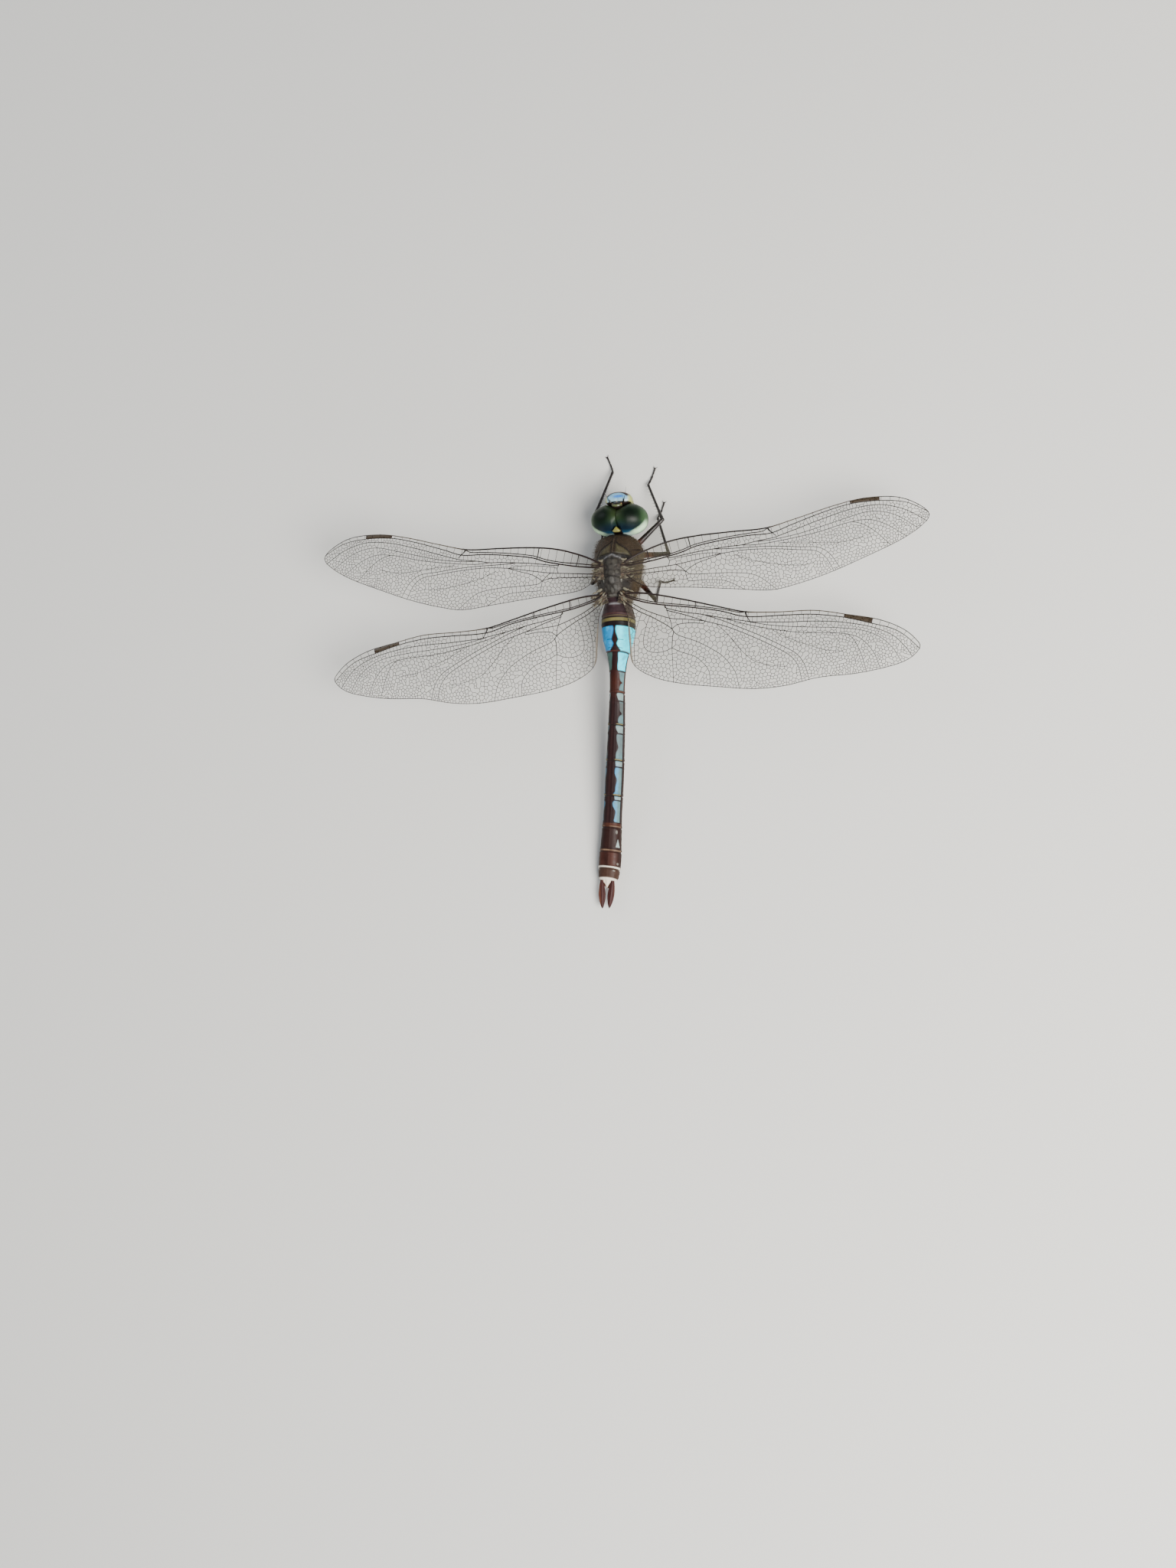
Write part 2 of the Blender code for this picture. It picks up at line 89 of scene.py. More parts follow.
# Wings, all pointing straight out along u with v toward the tail, in shares of the wing's length.
WINGS = {
    "fore": {
        "length": 51.3,
        "root": (1.7, -2.4, 12.0),
        "sweep": {"left": -5.4, "right": -6.2},
        "front": (
            (0.0, 0.0), (0.07, -0.026), (0.16, -0.046), (0.25, -0.050), (0.36, -0.045), (0.48, -0.038),
            (0.58, -0.052), (0.70, -0.073), (0.80, -0.082), (0.90, -0.070), (0.965, -0.037),
            (1.0, 0.004)),
        "back": (
            (0.975, 0.037), (0.90, 0.075), (0.78, 0.113), (0.66, 0.146), (0.55, 0.166), (0.47, 0.171),
            (0.36, 0.150), (0.22, 0.122), (0.10, 0.102), (0.05, 0.083), (0.0, 0.038)),
        "nodus": 0.488,
        "stigma": (0.757, 0.852),
        # name: (radius at the root, radius at the end, points)
        "veins": {
            "subcosta": (0.11, 0.09, (
                (0.0, 0.004), (0.03, 0.006), (0.09, 0.002), (0.146, -0.001), (0.20, -0.009),
                (0.25, -0.021), (0.34, -0.027), (0.42, -0.028), (0.465, -0.027), (0.488, -0.036))),
            "radius": (0.15, 0.06, (
                (0.0, 0.010), (0.025, 0.015), (0.085, 0.013), (0.146, 0.007), (0.20, -0.001),
                (0.25, -0.013), (0.34, -0.019), (0.42, -0.020), (0.495, -0.016), (0.566, -0.033),
                (0.663, -0.055), (0.755, -0.0685), (0.85, -0.0645), (0.93, -0.046), (0.985, -0.012))),
            "radial_stem": (0.09, 0.08, (
                (0.150, 0.008), (0.165, 0.011), (0.245, 0.006), (0.347, 0.005), (0.395, 0.007),
                (0.44, 0.003), (0.505, 0.0))),
            "radial_1": (0.08, 0.06, (
                (0.505, 0.0), (0.584, -0.017), (0.659, -0.034), (0.755, -0.051), (0.832, -0.053),
                (0.882, -0.042), (0.933, -0.018), (0.972, 0.012))),
            "radial_2": (0.07, 0.05, (
                (0.44, 0.003), (0.50, 0.006), (0.582, 0.001), (0.665, -0.012), (0.734, -0.024),
                (0.80, -0.034), (0.85, -0.028), (0.90, -0.006), (0.945, 0.032))),
            "sector": (0.07, 0.05, (
                (0.395, 0.007), (0.445, 0.014), (0.543, 0.013), (0.645, 0.006), (0.70, -0.003),
                (0.755, -0.010), (0.81, -0.008), (0.86, 0.015), (0.905, 0.052))),
            "sector_fork": (0.06, 0.05, ((0.755, -0.010), (0.79, 0.004), (0.825, 0.034), (0.86, 0.076))),
            "radial_3": (0.08, 0.05, (
                (0.30, 0.005), (0.35, 0.012), (0.44, 0.021), (0.505, 0.030), (0.578, 0.044),
                (0.64, 0.056), (0.674, 0.084), (0.697, 0.128))),
            "media": (0.09, 0.05, (
                (0.0, 0.036), (0.025, 0.037), (0.11, 0.037), (0.177, 0.037), (0.256, 0.031),
                (0.328, 0.025), (0.412, 0.026), (0.50, 0.038), (0.575, 0.053), (0.63, 0.066),
                (0.660, 0.094), (0.677, 0.134))),
            "arculus": (0.07, 0.06, ((0.150, 0.008), (0.156, 0.022), (0.150, 0.037))),
            "arculus_arm": (0.06, 0.06, (
                (0.155, 0.020), (0.19, 0.015), (0.258, 0.014), (0.30, 0.018), (0.328, 0.025))),
            "triangle_rear": (0.07, 0.07, (
                (0.204, 0.064), (0.241, 0.045), (0.29, 0.034), (0.328, 0.025))),
            "triangle_front": (0.07, 0.07, ((0.177, 0.037), (0.192, 0.050), (0.204, 0.064))),
            "cubitus": (0.08, 0.05, (
                (0.0, 0.044), (0.017, 0.046), (0.11, 0.050), (0.175, 0.055), (0.204, 0.064),
                (0.222, 0.076), (0.29, 0.085), (0.36, 0.094), (0.43, 0.114), (0.485, 0.164))),
            "anal": (0.06, 0.05, (
                (0.204, 0.064), (0.206, 0.084), (0.214, 0.098), (0.27, 0.103), (0.33, 0.116),
                (0.385, 0.152))),
            "media_plait": (0.05, 0.04, (
                (0.37, 0.036), (0.42, 0.062), (0.50, 0.088), (0.57, 0.104), (0.62, 0.104))),
            "radial_plait": (0.05, 0.04, (
                (0.52, 0.020), (0.60, 0.032), (0.67, 0.046), (0.73, 0.050), (0.79, 0.042))),
        },
        "main_crossings": (0.085, 0.225),
    },
    "hind": {
        "length": 50.2,
        "root": (1.9, 2.75, 11.8),
        "sweep": {"left": 14.1, "right": 13.1},
        "front": (
            (0.0, 0.0), (0.08, -0.013), (0.20, -0.015), (0.32, -0.012), (0.42, -0.011), (0.52, -0.028),
            (0.64, -0.055), (0.75, -0.061), (0.85, -0.063), (0.93, -0.048), (0.98, -0.022), (1.0, 0.004)),
        "back": (
            (0.975, 0.046), (0.92, 0.082), (0.82, 0.125), (0.70, 0.162), (0.60, 0.208), (0.50, 0.238),
            (0.38, 0.254), (0.26, 0.266), (0.16, 0.262), (0.085, 0.232), (0.055, 0.160), (0.03, 0.078),
            (0.0, 0.035)),
        "nodus": 0.42,
        "stigma": (0.738, 0.832),
        "veins": {
            "subcosta": (0.11, 0.09, (
                (0.0, 0.004), (0.014, 0.008), (0.05, 0.012), (0.12, 0.013), (0.23, 0.003),
                (0.333, -0.003), (0.395, -0.003), (0.42, -0.010))),
            "radius": (0.15, 0.06, (
                (0.0, 0.010), (0.014, 0.014), (0.05, 0.019), (0.12, 0.020), (0.23, 0.010), (0.333, 0.004),
                (0.425, 0.007), (0.55, -0.021), (0.64, -0.040), (0.735, -0.048), (0.83, -0.045),
                (0.90, -0.040), (0.945, -0.025), (0.987, 0.0))),
            "radial_stem": (0.09, 0.08, (
                (0.148, 0.019), (0.155, 0.027), (0.22, 0.029), (0.27, 0.026), (0.349, 0.025),
                (0.453, 0.020))),
            "radial_1": (0.08, 0.06, (
                (0.453, 0.020), (0.563, 0.0), (0.625, -0.014), (0.713, -0.029), (0.80, -0.034),
                (0.86, -0.030), (0.912, -0.016), (0.955, 0.012), (0.974, 0.030))),
            "radial_2": (0.07, 0.05, (
                (0.43, 0.022), (0.50, 0.021), (0.567, 0.014), (0.64, 0.003), (0.72, -0.010),
                (0.80, -0.017), (0.86, -0.008), (0.91, 0.018), (0.945, 0.054))),
            "sector": (0.07, 0.05, (
                (0.36, 0.026), (0.42, 0.031), (0.485, 0.033), (0.571, 0.030), (0.639, 0.022),
                (0.703, 0.010), (0.764, 0.004), (0.81, 0.012), (0.855, 0.045), (0.885, 0.088))),
            "sector_fork": (0.06, 0.05, ((0.764, 0.004), (0.79, 0.022), (0.82, 0.062), (0.845, 0.108))),
            "radial_3": (0.08, 0.05, (
                (0.285, 0.026), (0.349, 0.034), (0.411, 0.046), (0.485, 0.061), (0.570, 0.083),
                (0.613, 0.098), (0.643, 0.124), (0.660, 0.152), (0.668, 0.168))),
            "media": (0.09, 0.05, (
                (0.155, 0.034), (0.22, 0.038), (0.29, 0.046), (0.371, 0.052), (0.469, 0.071),
                (0.560, 0.095), (0.600, 0.112), (0.628, 0.138), (0.646, 0.176))),
            "arculus": (0.07, 0.06, ((0.148, 0.019), (0.156, 0.030), (0.172, 0.058))),
            "median": (0.09, 0.07, (
                (0.0, 0.020), (0.04, 0.033), (0.094, 0.048), (0.172, 0.058), (0.226, 0.052),
                (0.291, 0.046))),
            "triangle_front": (0.07, 0.07, ((0.172, 0.058), (0.181, 0.073), (0.188, 0.092))),
            "triangle_rear": (0.07, 0.07, (
                (0.188, 0.092), (0.206, 0.073), (0.25, 0.060), (0.287, 0.055), (0.291, 0.046))),
            "cubitus": (0.10, 0.07, (
                (0.0, 0.028), (0.02, 0.036), (0.066, 0.054), (0.116, 0.066), (0.188, 0.092),
                (0.196, 0.12), (0.202, 0.154))),
            "cubitus_end": (0.07, 0.05, (
                (0.188, 0.092), (0.212, 0.108), (0.279, 0.118), (0.333, 0.133), (0.371, 0.148),
                (0.403, 0.170), (0.430, 0.198), (0.452, 0.243))),
            "anal_1": (0.06, 0.05, (
                (0.202, 0.154), (0.234, 0.162), (0.283, 0.168), (0.315, 0.184), (0.341, 0.208),
                (0.356, 0.254))),
            "anal_2": (0.06, 0.05, (
                (0.202, 0.154), (0.18, 0.170), (0.15, 0.180), (0.118, 0.176), (0.102, 0.150),
                (0.100, 0.10), (0.104, 0.064))),
            "anal_3": (0.05, 0.05, ((0.202, 0.154), (0.215, 0.20), (0.232, 0.264))),
            "anal_4": (0.05, 0.05, ((0.075, 0.056), (0.070, 0.11), (0.075, 0.17), (0.092, 0.235))),
            "media_plait": (0.05, 0.04, (
                (0.33, 0.048), (0.375, 0.075), (0.41, 0.104), (0.447, 0.130), (0.487, 0.148),
                (0.545, 0.150), (0.59, 0.146))),
            "radial_plait": (0.05, 0.04, (
                (0.52, 0.036), (0.579, 0.052), (0.645, 0.062), (0.70, 0.068), (0.76, 0.062))),
        },
        "main_crossings": (0.115, 0.245),
    },
}
WING_DROOP = {"left": 0.6, "right": 3.2}  # degrees that a wing hangs below level
WING_EDGE_STEPS = 104  # along each of the two edges
WING_SEEDS = {"fore": 11, "hind": 23}  # of the random cells; the right wing's is one higher
REAR_MARGIN_RADIUS = 0.075  # of the vein along the rear edge
CELL_RADIUS = 0.038  # of the veins of the net
LADDER_SPACING = 1.42  # between the cross veins ahead of the radius
RUNG_SPACING = 0.95  # between the cross veins of a narrow field
CELL_SIZES = (0.82, 0.57)  # width of the mesh between veins, at the root and at the tip
CELL_EDGE_SHARE = 0.8  # size of the cells by the rear edge, as a share
CELL_EDGE_REACH = 2.6  # from the rear edge to where they have their full size
FIELD_STEP = 0.062  # of the grid on which the cells are found
FIELD_MARGIN = 0.3  # how far the grid reaches past the wing
SMALLEST_FIELD = 12  # places of the grid; a smaller field has no cells
RELAX_ROUNDS = 14  # of moving each seed to the middle of its cell
MEMBRANE_THICKNESS = 0.03
FILM_INSET = 0.06  # from the wing's edge to the film's own, which is hidden in the edge vein
# How high the wing is folded at its front edge and at these veins, at the root.
FRONT_FOLD = 0.05
FOLDS = {"subcosta": -0.16, "radius": 0.15, "radial_stem": -0.05, "media": 0.07, "median": 0.07,
         "cubitus": -0.12}
RUN_OUT_REACH = 1.6  # a vein that ends closer than this to the wing's edge is led on to it
EDGE_GAP = 0.04  # and ends this close to it

# Abdomen: places along it are given as y.
ABDOMEN_FRONT = 3.6
ABDOMEN_END = 50.3
ABDOMEN_AXIS = ((3.6, 8.5), (12.0, 7.45), (24.0, 5.45), (36.0, 3.4), (43.5, 2.0), (47.5, 1.33),
                (50.3, 1.15))  # its height above the floor
ABDOMEN_LEAN_START = 8.0
ABDOMEN_LEAN = 0.0895  # toward +X, for each millimetre behind that start
ABDOMEN_BOW = 0.35  # toward -X, at the middle of its length
# How many degrees the markings are turned round the axis.
ABDOMEN_ROLL = ((8.0, 0), (12.0, -2), (14.0, 3), (17.0, 11), (24.0, 14), (28.0, 16), (38.0, 17),
                (44.0, 14), (50.3, 5))
ABDOMEN_WIDTHS = ((3.6, 4.3), (5.8, 5.5), (7.5, 5.8), (10.0, 5.2), (13.2, 3.4), (16.9, 2.6),
                  (24.0, 2.8), (33.0, 3.15), (39.0, 3.15), (43.4, 3.45), (47.3, 3.8), (50.3, 3.3))
ABDOMEN_HEIGHTS = ((3.6, 4.9), (7.5, 5.7), (10.0, 5.2), (13.2, 3.7), (16.9, 3.0), (24.0, 2.8),
                   (39.0, 2.7), (47.3, 2.8), (50.3, 2.6))
ABDOMEN_SIDES = 168  # of its skin's rings
ABDOMEN_STEP = 0.08  # from ring to ring
SEGMENT_ENDS = (3.6, 5.8, 12.0, 18.9, 24.6, 30.5, 36.5, 41.9, 45.8, 48.7, 50.3)
CROSS_RIDGES = (7.1, 9.95, 15.15, 20.6, 25.9, 31.7, 37.4)
# (y on the skin, y in the tables of marks): the skin's joints lie up to 0.7 mm ahead of the solids'.
RING_PLACES = ((3.0, 3.0), (6.8, 6.75), (11.98, 12.0), (18.7, 18.9), (24.1, 24.6), (30.05, 30.5),
               (35.9, 36.5), (41.2, 41.9), (45.2, 45.8), (48.1, 48.7), (49.9, 50.0), (50.5, 50.5))
RING_BEND = 0.2  # how far the rings lie farther back on the flanks
# The middle stripe's half width in degrees from the top, at places counted in segments.
STRIPE = (
    (2.20, 30), (2.26, 14), (2.34, 5), (2.50, 5), (2.60, 9), (2.70, 12), (2.80, 7), (2.90, 15),
    (2.97, 24), (3.03, 15), (3.22, 19), (3.40, 20), (3.48, 28), (3.54, 38), (3.66, 44), (3.72, 52),
    (3.76, 68), (3.80, 54), (3.88, 45), (3.96, 43), (4.0, 52), (4.04, 28), (4.14, 30), (4.24, 40),
    (4.30, 46), (4.44, 50), (4.56, 52), (4.66, 68), (4.71, 56), (4.78, 44), (4.90, 40), (4.96, 42),
    (5.04, 26), (5.14, 30), (5.23, 42), (5.30, 34), (5.45, 36), (5.64, 48), (5.8, 34), (5.95, 33),
    (6.04, 32), (6.2, 35), (6.28, 31), (6.4, 33), (6.55, 46), (6.75, 40), (6.9, 38), (6.96, 28),
    (7.04, 36), (7.14, 38), (7.24, 27), (7.35, 31), (7.5, 48), (7.7, 43), (7.82, 44), (7.86, 80),
)
STRIPE_EDGE = 2.6  # degrees over which each side of its edge is soft
CROSS_MARKS = (3.48, 4.27, 5.25, 6.19, 7.15)  # dark lines across the pale patches, in segments
SADDLE = (7.82, 11.95)  # where the sky-blue saddle begins and ends

# Claspers.
GAP = 0.25  # between the last segment and the claspers' feet
TAIL_WAY = (0.07, 1.0, -0.04)
CERCUS_SPREAD = 0.98  # from the middle to the foot of each
CERCUS_CLOSING = 0.075  # toward the middle, for each millimetre of length
CERCUS_SUNK = 0.25  # length of each that is inside the last segment
# (distance along, half width) of the leaf-shaped plates.
CERCUS_PROFILE = ((0.0, 0.3), (0.8, 0.46), (2.2, 0.62), (3.2, 0.54), (4.1, 0.32), (4.75, 0.10))
EPIPROCT_PROFILE = ((0, 0.85), (0.7, 0.78), (1.3, 0.45))
TAIL_SHIELD_PROFILE = ((0, 1.05), (0.3, 0.85), (0.75, 0.36), (1.45, 0.07))

# Head: (centre, half sizes, roundness in plan, roundness from the side) of its rounded blocks.
FRONS = ((0, -14.45, 7.6), (2.36, 1.35, 1.5), 2.1, 2.6)
CLYPEUS = ((0, -14.30, 5.85), (2.25, 1.25, 1.7), 2.2, 2.7)
LABRUM = ((0, -14.12, 4.45), (2.0, 1.18, 1.28), 2.2, 2.5)
CHIN = ((0, -11.9, 4.5), (2.6, 2.7, 1.6), 2.4, 2.4)
CHEEK = ((1.86, -13.35, 5.6), (0.52, 1.1, 1.5), 2.2, 2.4)
MANDIBLE = ((1.75, -13.2, 4.1), (0.50, 1.15, 0.95), 2.2, 2.4)
HEAD_BACK = ((0, -8.95, 6.75), (2.6, 0.60, 2.15), 2.3, 2.3)
HEAD_TRIANGLE = ((0, -8.86, 9.28), (0.76, 0.50, 0.55), 3.0, 2.4)
VERTEX = ((0, -13.1, 8.85), (0.92, 0.62, 0.95), 2.2, 2.2)
OCELLI = ((0, -13.66, 9.15), (0.74, -13.38, 9.12), (-0.74, -13.38, 9.12))  # the three small eyes
OCELLUS_RADIUS = 0.16
ANTENNA = ((1.02, -13.55, 8.75), (2.08, -15.75, 10.85))  # from foot to tip, on the left
ANTENNA_RADII = ((0, 0.17), (0.11, 0.17), (0.13, 0.12), (0.22, 0.12), (0.25, 0.05), (0.6, 0.035),
                 (1, 0.014))
EYE_CENTRE = (0.0, -11.1, 7.1)
HEAD_HALF_WIDTH = 4.95
EYE_HALF_LENGTH = 2.85
EYE_HALF_HEIGHT = 3.4
EYE_SEAM = 0.02  # from the middle of the head to the inner face of an eye
EYE_FULLNESS = 2.3  # how boxy an eye's front half is from above
EYE_REAR_FULLNESS = 2.6  # and its rear half
# How an eye's outline draws in near the middle of the head: its reach, depth and sharpness.
EYE_NOTCHES = {"front": (0.45, 0.42, 1.0), "rear": (0.17, 0.40, 1.2), "top": (0.4, 0.12, 1.5)}

# Legs: hip, knee, ankle, ball of the foot and claw.
LEG_JOINTS = {
    "leg_fore_right": ((-1.5, -6.4, 4.4), (-7.0, -11.2, 5.0), (-3.5, -18.8, 0.9), (-3.9, -19.9, 0.2),
                       (-4.6, -21.9, 0.2)),
    "leg_fore_left": ((1.5, -6.4, 4.4), (5.2, -13.0, 4.4), (2.9, -21.6, 0.9), (3.3, -22.7, 0.2),
                      (4.1, -24.6, 0.2)),
    "leg_middle_right": ((-1.9, -5.4, 4.1), (-8.2, -5.0, 5.5), (-5.2, -12.7, 0.9), (-5.6, -13.7, 0.2),
                         (-6.2, -15.6, 0.2)),
    "leg_middle_left": ((2.3, -4.2, 3.1), (5.2, -0.6, 6.0), (5.3, -7.6, 0.9), (5.2, -8.7, 0.2),
                        (5.0, -10.6, 0.2)),
    "leg_hind_right": ((-2.0, -1.6, 3.7), (-6.3, 3.35, 7.0), (-5.6, -1.4, 0.9), (-6.3, -1.2, 0.2),
                       (-8.0, -1.6, 0.2)),
    "leg_hind_left": ((2.0, -1.6, 3.6), (3.4, 5.5, 4.2), (2.9, 12.9, 0.9), (2.85, 14.0, 0.2),
                      (2.8, 16.1, 0.2)),
}
# (share of the length, radius) of thigh, shin, each joint of the foot, and claw.
FEMUR_RADII = ((0, 0.42), (0.08, 0.50), (0.3, 0.53), (0.8, 0.38), (0.93, 0.40), (1, 0.34))
TIBIA_RADII = ((0, 0.30), (0.06, 0.33), (0.2, 0.25), (0.9, 0.22), (1, 0.25))
TOE_SHAPE = ((0, 0.75), (0.15, 0.9), (0.8, 1.0), (0.95, 1.12), (1, 0.85))  # in shares of its radius
TOE_RADII = (0.19, 0.17, 0.15)
CLAW_RADII = ((0, 0.075), (0.5, 0.055), (1, 0.015))
COXA_SIZE = (0.75, 0.8, 0.9)  # half sizes of the knob at the hip
KNEE_RADIUS = 0.37

# Down: solid hairs of seven points each.
HAIRS = 5200
HAIR_RADIUS = 0.014
HAIR_SIDES = ((0, 1), (1, 2), (2, 0))  # the points of its foot, in pairs
HAIR_PATCH = 0.003  # width of one hair's patch in the flat map
# Where the seven points lie in the patch.
HAIR_CORNERS = ((0, 0), (1, 0), (0.5, 0.5), (0, 0.7), (1, 0.7), (0.5, 0.8), (0.5, 1))

# Stage, in metres.
FLOOR_REACH = 3.0
# (name, place, width, watts, colour) of each lamp.
LAMPS = (
    ("key", (-0.30, 0.18, 0.40), 0.30, 6.6, (1.0, 0.97, 0.92)),
    ("fill", (0.40, -0.25, 0.35), 0.35, 0.8, (0.93, 0.96, 1.0)),
    ("rim", (-0.16, 0.50, 0.16), 0.18, 1.2, (0.95, 0.98, 1.0)),
)
# Camera, in millimetres: where it stands, the point it looks at, its lens and its sensor's long side.
CAMERA_PLACE = (-80.52, 74.92, 311.50)
CAMERA_TARGET = (4.567, 34.892, 11.0)
CAMERA_LENS = 43.26
CAMERA_SENSOR = 36.0


def screen(red, green, blue):
    """A screen colour as the linear values that shaders use."""
    shares = [c / 255 for c in (red, green, blue)]
    return np.array([c / 12.92 if c <= 10 / 255 else ((c + 0.055) / 1.055) ** 2.4 for c in shares])


BLACK = (26, 20, 17)
BLACK_BROWN = (40, 26, 22)
DARK_BROWN = (62, 38, 31)

# (distance from the middle, y, half width, half length, height, colour) of the back's plates.
BACK_PLATES = (
    (0.0, -3.72, 0.42, 0.20, 0.10, (96, 95, 98)), (0.75, -3.36, 0.55, 0.17, 0.10, (92, 91, 94)),
    (1.75, -3.62, 0.75, 0.30, -0.14, (38, 36, 40)), (0.0, -3.14, 0.36, 0.20, -0.20, (24, 22, 22)),
    (0.55, -2.35, 0.50, 0.62, 0.12, (78, 74, 66)), (0.0, -1.55, 0.45, 0.42, 0.10, (84, 80, 74)),
    (1.15, -1.75, 0.22, 0.55, 0.10, (74, 62, 54)), (0.0, -0.50, 0.62, 0.40, 0.16, (78, 74, 68)),
    (0.95, -0.72, 0.30, 0.30, 0.08, (92, 88, 80)), (0.0, 0.70, 0.46, 0.62, 0.16, (104, 102, 98)),
    (0.95, 0.45, 0.34, 0.50, 0.08, (72, 68, 62)), (1.55, 0.66, 0.11, 0.36, 0.10, (178, 176, 164)),
    (2.05, 1.05, 0.45, 0.40, -0.10, (40, 36, 34)), (0.55, 1.85, 0.42, 0.50, 0.12, (70, 68, 62)),
    (0.0, 2.35, 0.26, 0.45, 0.10, (92, 90, 84)), (1.20, 2.20, 0.25, 0.45, 0.08, (88, 82, 76)),
    (0.0, 3.05, 0.90, 0.16, 0.10, (108, 104, 98)),
)

# (outward, back, half length, half width, half height, turn in degrees, look) of the wing roots' plates.
ROOT_PLATES = {
    "fore": (
        (0.25, -0.50, 0.62, 0.20, 0.24, 4, "pale"), (0.15, 0.22, 0.55, 0.26, 0.30, -8, "dark"),
        (-0.25, 0.60, 0.34, 0.16, 0.22, 20, "pale"), (0.05, 0.95, 0.40, 0.15, 0.20, 34, "brown"),
        (0.55, 1.02, 0.42, 0.17, 0.20, 12, "pale"), (0.75, 1.42, 0.50, 0.16, 0.20, -14, "pale"),
        (1.60, 1.24, 0.42, 0.13, 0.14, -4, "pale"), (0.15, 1.55, 0.55, 0.20, 0.26, -24, "dark"),
        (0.85, 2.00, 0.60, 0.15, 0.18, -30, "brown"), (1.45, 2.50, 0.46, 0.13, 0.14, -34, "pale"),
        (1.30, 0.32, 0.70, 0.10, 0.12, -2, "brown"), (-0.20, 2.10, 0.34, 0.30, 0.20, 0, "brown"),
    ),
    "hind": (
        (0.28, -0.62, 0.52, 0.21, 0.24, 4, "pale"), (0.15, -0.08, 0.60, 0.24, 0.28, 6, "dark"),
        (1.20, -0.52, 0.66, 0.12, 0.14, 10, "pale"), (-0.30, 0.28, 0.30, 0.16, 0.22, 30, "pale"),
        (0.10, 0.52, 0.46, 0.17, 0.22, 30, "brown"), (0.75, 0.62, 0.55, 0.16, 0.18, 22, "dark"),
        (0.55, 1.22, 0.52, 0.19, 0.20, 34, "pale"), (1.30, 1.18, 0.44, 0.12, 0.14, 28, "brown"),
        (0.05, 1.20, 0.34, 0.16, 0.20, 40, "brown"), (0.55, 1.80, 0.42, 0.15, 0.16, 52, "pale"),
        (1.70, 1.72, 0.40, 0.12, 0.12, 34, "pale"),
    ),
}
ROOT_LOOKS = {"pale": (98, 94, 80), "dark": (30, 22, 20), "brown": (70, 58, 48)}


# ---------------------------------------------------------------- small tools

def smooth_value(knots, at):
    """Values read from a smooth curve through (position, value) pairs, at an array of positions."""
    at = np.asarray(at, float)
    x, y = (np.array(column, float) for column in zip(*knots))
    low = np.clip(np.searchsorted(x, at, side="right") - 1, 0, len(x) - 2)
    before, after = np.maximum(low - 1, 0), np.minimum(low + 2, len(x) - 1)
    span = x[low + 1] - x[low]
    t = np.clip((at - x[low]) / span, 0, 1)
    slope_in = (y[low + 1] - y[before]) / (x[low + 1] - x[before]) * span
    slope_out = (y[after] - y[low]) / (x[after] - x[low]) * span
    t2, t3 = t ** 2, t ** 3
    return (y[low] * (2 * t3 - 3 * t2 + 1) + slope_in * (t3 - 2 * t2 + t)
            + y[low + 1] * (3 * t2 - 2 * t3) + slope_out * (t3 - t2))


def smooth_path(points, steps):
    """Evenly shared steps along a Catmull-Rom curve through points."""
    chain = np.array([points[0], *points, points[-1]], float)
    at = np.arange(steps + 1) / steps * (len(points) - 1)
    low = np.minimum(at.astype(int), len(points) - 2)
    t = (at - low)[:, None]
    p0, p1, p2, p3 = (chain[low + k] for k in range(4))
    return 0.5 * (2 * p1 + (p2 - p0) * t + (2 * p0 - 5 * p1 + 4 * p2 - p3) * t ** 2
                  + (3 * p1 - p0 - 3 * p2 + p3) * t ** 3)


def rise(start, end, value):
    """0 before start, 1 after end, and smooth between."""
    t = np.clip((value - start) / (end - start), 0, 1)
    return t * t * (3 - 2 * t)


def band(value, start, end, soft):
    """1 between start and end, with soft edges."""
    return rise(start - soft, start + soft, value) * (1 - rise(end - soft, end + soft, value))


def bump(value, middle, width):
    """1 at the middle, falling off like a bell."""
    return np.exp(-((value - middle) / width) ** 2)


def lay(paint, mask, colour):
    """Lays a screen colour over the paint where the mask is."""
    blend(paint, mask, screen(*colour))


def blend(paint, mask, other):
    """Blends other linear colours, one or one for each point, into the paint where the mask is."""
    paint += (other - paint) * np.asarray(mask)[:, None]


def unit(vectors):
    """Vectors of length 1 with the same directions."""
    return vectors / np.maximum(np.linalg.norm(vectors, axis=-1, keepdims=True), 1e-9)


def superellipse(angles, power):
    """Places on a circle that is squared off the more, the higher the power is above 2."""
    c, s = np.cos(angles), np.sin(angles)
    return np.sign(c) * abs(c) ** (2 / power), np.sign(s) * abs(s) ** (2 / power)


def wrinkle(points, scale, seed):
    """Smooth irregular values, mostly from -1 to 1, made of a few crossed waves."""
    draw = np.random.default_rng(seed)
    total = np.zeros(len(points))
    for _ in range(6):
        way = unit(draw.normal(size=3))
        total += np.sin(points @ way * (draw.uniform(0.7, 1.5) * math.tau / scale) + draw.uniform(0, 6))
    return total / 4


# ---------------------------------------------------------------- shapes: (points, faces, colours)

def plain(points, colour):
    """One screen colour for every point, as linear values."""
    return np.tile(screen(*colour), (len(points), 1))


def through_rings(rings):
    """Points and faces of a closed skin through rings of equal count."""
    rows, sides = rings.shape[:2]
    index = np.arange(rows * sides).reshape(rows, sides)
    turned = np.roll(index, -1, axis=1)
    quads = np.stack([index[:-1], index[1:], turned[1:], turned[:-1]], axis=-1).reshape(-1, 4).tolist()
    first, last = rows * sides, rows * sides + 1
    front = [(first, int(a), int(b)) for a, b in zip(index[0], turned[0])]
    rear = [(last, int(b), int(a)) for a, b in zip(index[-1], turned[-1])]
    points = np.vstack([rings.reshape(-1, 3), rings[0].mean(axis=0), rings[-1].mean(axis=0)])
    return points, quads + front + rear


